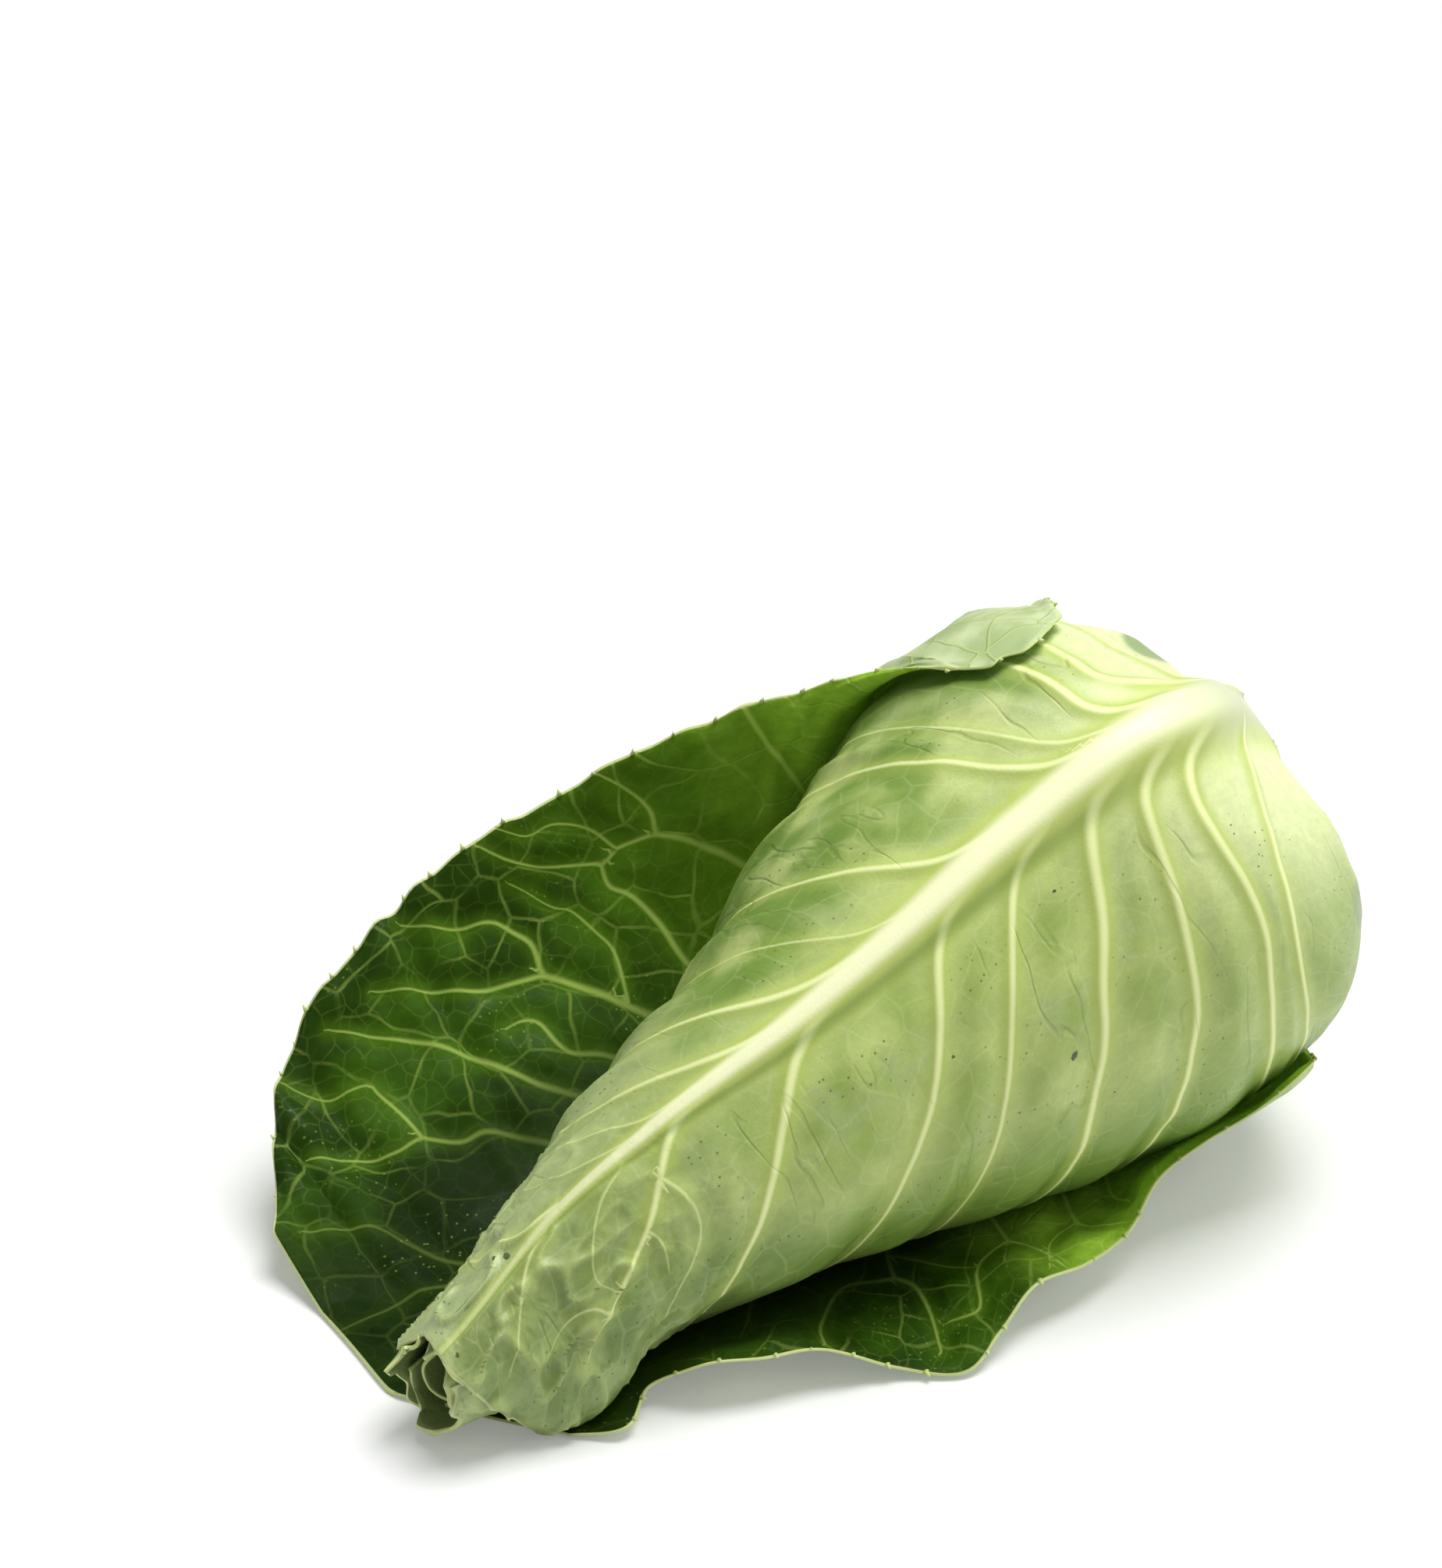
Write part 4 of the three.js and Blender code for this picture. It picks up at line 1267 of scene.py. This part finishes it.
def loose_underside(name, net_share=0.5):
    """The underside of the loose leaf, and the small leaf ends: grey-green and matte with wax bloom."""
    look = bpy.context.scene.cabbage_colours
    material, tree, shader = new_material(name)
    flat = add(tree, UV_MAP)
    net = vein_net(tree, flat, 11, 0.6)
    blade = cover(tree, look.bloom_light, look.bloom_deep, patches(tree, flat, 22, 0.38, 0.62))
    blade = cover(tree, blade, look.halo, net, net_share)
    tree.links.new(blade, shader.inputs["Base Color"])
    shader.inputs["Roughness"].default_value = 0.6
    leaf_relief(tree, shader, flat, net, 1, 0.5)
    let_light_through(tree, shader, 0.25)
    return material


def leaf_edge(name):
    """The bare edge of a leaf, a little paler and smoother than its faces."""
    look = bpy.context.scene.cabbage_colours
    material, tree, shader = new_material(name)
    place = add(tree, TEXTURE_PLACE).outputs["Object"]
    tint = add(tree, NOISE, {"Vector": place, "Scale": METRE / 9, "Detail": 2})
    colour = cover(tree, look.rim, look.halo, tint)
    tree.links.new(colour, shader.inputs["Base Color"])
    shader.inputs["Roughness"].default_value = 0.45
    grain(tree, shader, place, size=0.6, depth=0.2, strength=0.2)
    return material


def inner_leaf(name):
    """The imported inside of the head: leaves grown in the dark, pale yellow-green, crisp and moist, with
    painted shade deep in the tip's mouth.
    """
    look = bpy.context.scene.cabbage_colours
    material, tree, shader = new_material(name)
    place = add(tree, TEXTURE_PLACE).outputs["Object"]
    clouds = add(tree, NOISE, {"Vector": place, "Scale": METRE / 18, "Detail": 3})
    colour = cover(tree, look.halo, look.wrapper_pale, clouds)
    # Painted shade deep in the tip's mouth.
    colour = cover(tree, colour, look.tip_deep_and_mouth_shade, past(tree, "along", 0.86, 0.95, most=0.9))
    tree.links.new(colour, shader.inputs["Base Color"])
    shader.inputs["Roughness"].default_value = 0.42
    grain(tree, shader, place, size=1.2, depth=0.5, strength=0.4)
    return material


def cut_stem_flesh(name):
    """Freshly cut stem: moist white flesh with fibres, here and there dried to pale brown."""
    look = bpy.context.scene.cabbage_colours
    material, tree, shader = new_material(name)
    place = add(tree, TEXTURE_PLACE).outputs["Object"]
    fibres = grain(tree, shader, place, size=1.5, depth=0.4, strength=0.5, detail=4, roughness=0.7)
    dried = add(tree, MAP_RANGE, {0: fibres, 1: 0.45, 2: 0.75, 4: 0.8})
    colour = cover(tree, look.stem_flesh, look.stem_dried, dried)
    tree.links.new(colour, shader.inputs["Base Color"])
    shader.inputs["Roughness"].default_value = 0.5
    return material


def pale_floor(name):
    """A matte white tabletop. Away from the cabbage the camera sees it as plain white,
    and round the cabbage the shadow stays on it."""
    material, tree, shader = new_material(name)
    shader.inputs["Base Color"].default_value = bpy.context.scene.cabbage_colours.floor
    shader.inputs["Roughness"].default_value = 0.7
    place = add(tree, TEXTURE_PLACE).outputs["Object"]
    away = add(tree, VECTOR_MATH, {0: place}, operation="LENGTH").outputs["Value"]
    white_share = add(tree, MAP_RANGE, {0: away, 1: 0.2, 2: 0.6, 3: 0.2}, **SMOOTH)
    seen = add(tree, LIGHT_PATH).outputs["Is Camera Ray"]
    share = add(tree, MATH, {0: white_share, 1: seen}, operation="MULTIPLY")
    white = add(tree, EMISSION, {"Color": (1, 1, 1, 1), "Strength": 1.0})
    both = add(tree, MIX_SHADER, {0: share, 1: shader, 2: white})
    tree.links.new(both.outputs[0], tree.nodes["Material Output"].inputs["Surface"])
    return material


# ---------------------------------------------------------------- settings

def colour_setting(name, hex_colour, description):
    """A colour that a user can change, from its sRGB hex value."""
    return bpy.props.FloatVectorProperty(name=name, description=description, subtype="COLOR", size=4,
                                         min=0, max=1, default=linear(hex_colour))


def length_setting(name, default, least, most, description):
    """A length that a user can change, in metres."""
    return bpy.props.FloatProperty(name=name, description=description, default=default, min=least, max=most,
                                   precision=4, unit="LENGTH")


class CabbageSizes(bpy.types.PropertyGroup):
    """Sizes of the leaves' relief and of their fine patterns."""
    vein_height: length_setting(
        "Vein height", 0.0012, 0, 0.004, "How far a stout side vein stands out of a wrapper leaf")
    pucker_height: length_setting(
        "Pucker height", 0.0028, 0, 0.006, "How far the blade bulges between two side veins")
    tooth_length: length_setting(
        "Tooth length", 0.0013, 0, 0.004, "Length of the small teeth on the loose leaf's margin")
    net_cell: length_setting(
        "Net cell", 0.013, 0.004, 0.04, "Width of a cell in the loose leaf's net of veins")
    fine_cell: length_setting(
        "Fine net cell", 0.0045, 0.002, 0.02, "Width of a cell in the loose leaf's finest net of veins")


class CabbageColours(bpy.types.PropertyGroup):
    """Colours of the leaves, the stem and the floor, some of them painted light and shade."""
    wrapper_light: colour_setting("Wrapper, light", "#B4C474", "Blade of the wrapper leaves")
    # Also painted shade on the dome's edge.
    wrapper_deep_and_dome_shade: colour_setting("Wrapper, deep", "#87A047", "Greener clouds in the wrapper leaves")
    wrapper_bloom: colour_setting("Wrapper, bloom", "#A5B67C", "Greyish patches of wax on the wrapper leaves")
    wrapper_pale: colour_setting("Wrapper, pale", "#DDE6AE", "Wrapper leaves at the stem, and their net")
    # Painted shade under the loose leaf's fold and along the head's bottom.
    wrapper_fold_and_low_shade: colour_setting("Wrapper, covered", "#5E7E24", "Wrapper leaf under the loose leaf's fold")
    # Leaf-base lobe, its grey partly painted shade.
    wrapper_shaded_lobe: colour_setting("Wrapper, lobe", "#8FA470", "Grey-green lobe of a leaf base beside the stem")
    wrapper_tip_far: colour_setting("Wrapper, far tip", "#B4C48E", "The tip beyond the midrib")
    # Painted shade beyond the midrib, low down and below the midrib's low side.
    wrapper_far_shade: colour_setting("Wrapper, far side", "#6F8E38", "Beyond the midrib, and low down")
    wrapper_tip: colour_setting("Wrapper, tip", "#98A96C", "Wrapper leaves at the tip")
    # Also painted shade deep in the tip's mouth.
    tip_deep_and_mouth_shade: colour_setting("Wrapper, tip, deep", "#74884C", "Darker clouds at the tip")
    # Painted shade in the creases.
    crease: colour_setting("Crease", "#6B823C", "Thin creases in the wrapper leaves")
    scar: colour_setting("Scar", "#4A5436", "Small damaged spots")
    halo: colour_setting("Beside the midrib", "#C2D16F", "Blade along the midrib")
    fringe: colour_setting("Beside a vein", "#AABD58", "Blade along each side vein")
    vein: colour_setting("Vein", "#E9F1AC", "Side veins of the wrapper leaves")
    rib: colour_setting("Midrib", "#EFF2C2", "Midrib of the wrapper leaves")
    # Partly the midrib's own colour, partly painted shade on its low side.
    rib_low_side: colour_setting("Midrib, low side", "#BFCE6C", "Midrib's side that faces down")
    # Painted shade on the midrib's bend.
    rib_bend_shade: colour_setting("Midrib at the stem", "#BFC5A2", "Midrib where it bends down to the stem")
    rib_tip: colour_setting("Midrib at the tip", "#BCCB80", "Midrib towards the tip")
    speck: colour_setting("Speck", "#56633A", "Tiny dark specks")
    loose_dark: colour_setting("Loose leaf, dark", "#173004", "Darkest part of the loose leaf")
    # Painted shade on the loose leaf deep beside the head.
    loose_painted_shade: colour_setting("Loose leaf, shade", "#0B1A03", "Loose leaf deep beside the head")
    loose_green: colour_setting("Loose leaf, green", "#33560C", "Brighter clouds in the loose leaf")
    # Painted light near the stem, and the brighter blade beside the veins.
    loose_lit_and_halo: colour_setting("Loose leaf, bright", "#5F8A16", "Loose leaf near the stem and its veins")
    # Painted light on the veins.
    loose_vein_lit: colour_setting("Loose leaf, light veins", "#D0F070", "Veins where the leaf is bright")
    # Painted light shining through the loose leaf.
    loose_painted_glow: colour_setting("Loose leaf, fold", "#9CC83C", "Loose leaf inside its fold and by the dome")
    # Wax film with a painted sheen.
    loose_wax_and_sheen: colour_setting("Loose leaf, wax", "#35502A", "Bluish film of wax on the loose leaf")
    loose_vein: colour_setting("Loose leaf, vein", "#A2BC58", "Veins of the loose leaf")
    glow: colour_setting("Glow", "#C4E478", "Light that shines through the loose leaf")
    bloom_light: colour_setting("Wax bloom, light", "#DEEAB8", "Underside of the loose leaf")
    bloom_deep: colour_setting("Wax bloom, deep", "#B4C68C", "Greener clouds in that underside")
    rim: colour_setting("Leaf edge", "#D5E0A0", "Edges of the leaves")
    stem_flesh: colour_setting("Stem", "#E9EBCF", "Fresh cut of the stem")
    stem_dried: colour_setting("Stem, dried", "#C2B183", "Dried fibres in the cut")
    floor: colour_setting("Floor", "#F4F5F3", "Tabletop")


class CabbageStage(bpy.types.PropertyGroup):
    """Camera and lamps."""
    view_distance: length_setting(
        "Camera distance", 0.95, 0.3, 3, "From the camera to the point it looks at")
    key_power: bpy.props.FloatProperty(
        name="Key lamp", description="Power of the large lamp above",
        default=20, min=0, max=200, unit="POWER")
    fill_power: bpy.props.FloatProperty(
        name="Fill lamp", description="Power of the lamp on the near side",
        default=3, min=0, max=200, unit="POWER")
    sky: bpy.props.FloatProperty(
        name="Room light", description="Even light from all round", default=0.3, min=0, max=2)


# ---------------------------------------------------------------- operators

# Rows from stem to tip and columns across, of each leaf's grid.
FRONT_GRID = (252, 192)
INNER_GRID = (180, 130)
LOOSE_GRID = (236, 206)
SCROLL_GRID = (60, 120)
SHRED_GRID = (24, 24)

# How much of the paleness near the stem is left on the dome, away from the midrib; the rest gives way to
# painted shade there.
FRONT_PALENESS = 0.15
INNER_PALENESS = 1


def shared(*names):
    """Materials that an earlier step has made."""
    return [bpy.data.materials[name] for name in names]


class CABBAGE_OT_front_leaf(bpy.types.Operator):
    """Makes the wrapper leaf with the big white midrib"""
    bl_idname = "cabbage.front_leaf"
    bl_label = "Front leaf"

    def execute(self, context):
        piece = wrapped_leaf("front_wrapper_leaf", FRONT_LEAF, FRONT_GRID, FRONT_CROWDING, front_flare)
        outside = wrapper_underside("wrapper_leaf_underside", FRONT_PALENESS, FRONT_LOBES, FRONT_SCARS)
        faces = [outside, inner_leaf("wrapper_leaf_inside"), leaf_edge("wrapper_leaf_edge")]
        finish_piece(piece, faces, "wrapper_leaf", "front_leaf")
        return {"FINISHED"}


class CABBAGE_OT_inner_leaves(bpy.types.Operator):
    """Makes the three wrapper leaves that lie under the front one"""
    bl_idname = "cabbage.inner_leaves"
    bl_label = "Other wrapper leaves"

    def execute(self, context):
        outside = wrapper_underside("inner_leaf_underside", INNER_PALENESS)
        faces = [outside, *shared("wrapper_leaf_inside", "wrapper_leaf_edge")]
        for node, leaf, slot in (("rear_leaf", REAR_LEAF, "wrapper_leaf"),
                                 ("under_leaf", UNDER_LEAF, "inner_leaf"),
                                 ("side_leaf", SIDE_LEAF, "inner_leaf")):
            piece = wrapped_leaf("wrapper_" + node, leaf, INNER_GRID)
            finish_piece(piece, faces, slot, node)
        return {"FINISHED"}


class CABBAGE_OT_loose_leaf(bpy.types.Operator):
    """Makes the loose outer leaf and the teeth on its margin"""
    bl_idname = "cabbage.loose_leaf"
    bl_label = "Loose leaf"

    def execute(self, context):
        piece, inner_face = loose_leaf(LOOSE_GRID)
        edge = leaf_edge("loose_leaf_edge")
        faces = [loose_upper("loose_leaf_upper_side"), loose_underside("loose_leaf_underside"), edge]
        finish_piece(piece, faces, "outer_leaf", "outer_leaf")
        finish_piece(margin_teeth(inner_face), [edge], "outer_leaf")
        return {"FINISHED"}


class CABBAGE_OT_stem(bpy.types.Operator):
    """Makes the cut stem and the shred of leaf left on it"""
    bl_idname = "cabbage.stem"
    bl_label = "Stem"

    def execute(self, context):
        finish_piece(cut_stem(), [cut_stem_flesh("cut_stem_flesh")], "stem", "stem")
        shred = small_sheet("stem_shred", shred_points, SHRED_GRID)
        faces = shared("loose_leaf_upper_side", "loose_leaf_underside", "loose_leaf_edge")
        finish_piece(shred, faces, "leaf_shred", "leaf_shred")
        return {"FINISHED"}


class CABBAGE_OT_heart(bpy.types.Operator):
    """Makes the scroll in the tip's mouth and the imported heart"""
    bl_idname = "cabbage.heart"
    bl_label = "Heart and scroll"

    def execute(self, context):
        scroll = small_sheet("tip_scroll", scroll_points, SCROLL_GRID)
        inside, edge = shared("wrapper_leaf_inside", "wrapper_leaf_edge")
        faces = [loose_underside("scroll_leaf_underside", net_share=0.3), inside, edge]
        finish_piece(scroll, faces, "inner_leaf", "scroll_leaf")
        finish_piece(packed_heart(), [inside], "heart", "heart")
        return {"FINISHED"}


# The camera looks at a point behind and above the middle of the head.
CAMERA_AIM = STEM_POLE * MM + Vector((-0.1283, 0.0381, 0.0194))
CAMERA_AZIMUTH = math.radians(-40)
CAMERA_ELEVATION = math.radians(28)
CAMERA_LENS = 100.4

# Places and sizes of the lamps, in metres. They face the middle of the floor.
KEY_LAMP = ((0.3, -0.05, 1.3), 0.8)
FILL_LAMP = ((0.8, -0.9, 0.7), 0.9)
FLOOR_SIZE = 6


class CABBAGE_OT_stage(bpy.types.Operator):
    """Makes the floor, the lamps, the room light and the camera"""
    bl_idname = "cabbage.stage"
    bl_label = "Stage"

    def execute(self, context):
        scene = context.scene
        settings = scene.cabbage_stage
        deselect_all()
        bpy.ops.mesh.primitive_plane_add(size=FLOOR_SIZE)
        floor = context.object
        floor.name = "floor"
        floor.data.materials.append(pale_floor("matte_white_tabletop"))
        level = Vector((math.sin(CAMERA_AZIMUTH), -math.cos(CAMERA_AZIMUTH), 0)) * math.cos(CAMERA_ELEVATION)
        back = level + Vector((0, 0, math.sin(CAMERA_ELEVATION)))
        bpy.ops.object.camera_add(location=CAMERA_AIM + settings.view_distance * back)
        camera = context.object
        camera.rotation_euler = (math.pi / 2 - CAMERA_ELEVATION, 0, CAMERA_AZIMUTH)
        camera.data.lens = CAMERA_LENS
        scene.camera = camera
        for name, (place, size), power in (("key_lamp", KEY_LAMP, settings.key_power),
                                           ("fill_lamp", FILL_LAMP, settings.fill_power)):
            bpy.ops.object.light_add(type="AREA", location=place)
            lamp = context.object
            lamp.name = name
            lamp.data.size = size
            lamp.data.energy = power
            lamp.rotation_euler = (-Vector(place)).to_track_quat("-Z", "Y").to_euler()
        room = bpy.data.worlds.new("studio_room")
        room.use_nodes = True
        tree = room.node_tree
        seen = add(tree, LIGHT_PATH).outputs["Is Camera Ray"]
        strength = add(tree, MAP_RANGE, {0: seen, 3: settings.sky, 4: 1})
        tree.nodes["Background"].inputs["Color"].default_value = (1, 1, 1, 1)
        tree.links.new(strength.outputs[0], tree.nodes["Background"].inputs["Strength"])
        scene.world = room
        scene.view_settings.view_transform = "Standard"
        return {"FINISHED"}


class CABBAGE_PT_builder(bpy.types.Panel):
    """Lists the sizes, the colours and the steps that make the cabbage"""
    bl_idname = "CABBAGE_PT_builder"
    bl_label = "Pointed cabbage"
    bl_space_type = "VIEW_3D"
    bl_region_type = "UI"
    bl_category = "Cabbage"

    def draw(self, context):
        scene = context.scene
        for settings in (scene.cabbage_sizes, scene.cabbage_colours, scene.cabbage_stage):
            box = self.layout.box()
            for name in settings.__annotations__:
                box.prop(settings, name)
        column = self.layout.column()
        for step in STEPS:
            column.operator(step.bl_idname)


SETTINGS = (CabbageSizes, CabbageColours, CabbageStage)
STEPS = (
    CABBAGE_OT_stage,
    CABBAGE_OT_front_leaf,
    CABBAGE_OT_inner_leaves,
    CABBAGE_OT_loose_leaf,
    CABBAGE_OT_stem,
    CABBAGE_OT_heart,
)


def register():
    for group in (*SETTINGS, *STEPS, CABBAGE_PT_builder):
        bpy.utils.register_class(group)
    bpy.types.Scene.cabbage_sizes = bpy.props.PointerProperty(type=CabbageSizes)
    bpy.types.Scene.cabbage_colours = bpy.props.PointerProperty(type=CabbageColours)
    bpy.types.Scene.cabbage_stage = bpy.props.PointerProperty(type=CabbageStage)


def unregister():
    del bpy.types.Scene.cabbage_stage
    del bpy.types.Scene.cabbage_colours
    del bpy.types.Scene.cabbage_sizes
    for group in (CABBAGE_PT_builder, *reversed(STEPS), *reversed(SETTINGS)):
        bpy.utils.unregister_class(group)


def main():
    register()
    bpy.ops.cabbage.stage()
    bpy.ops.cabbage.front_leaf()
    bpy.ops.cabbage.inner_leaves()
    bpy.ops.cabbage.loose_leaf()
    bpy.ops.cabbage.stem()
    bpy.ops.cabbage.heart()


if __name__ == "__main__":
    main()
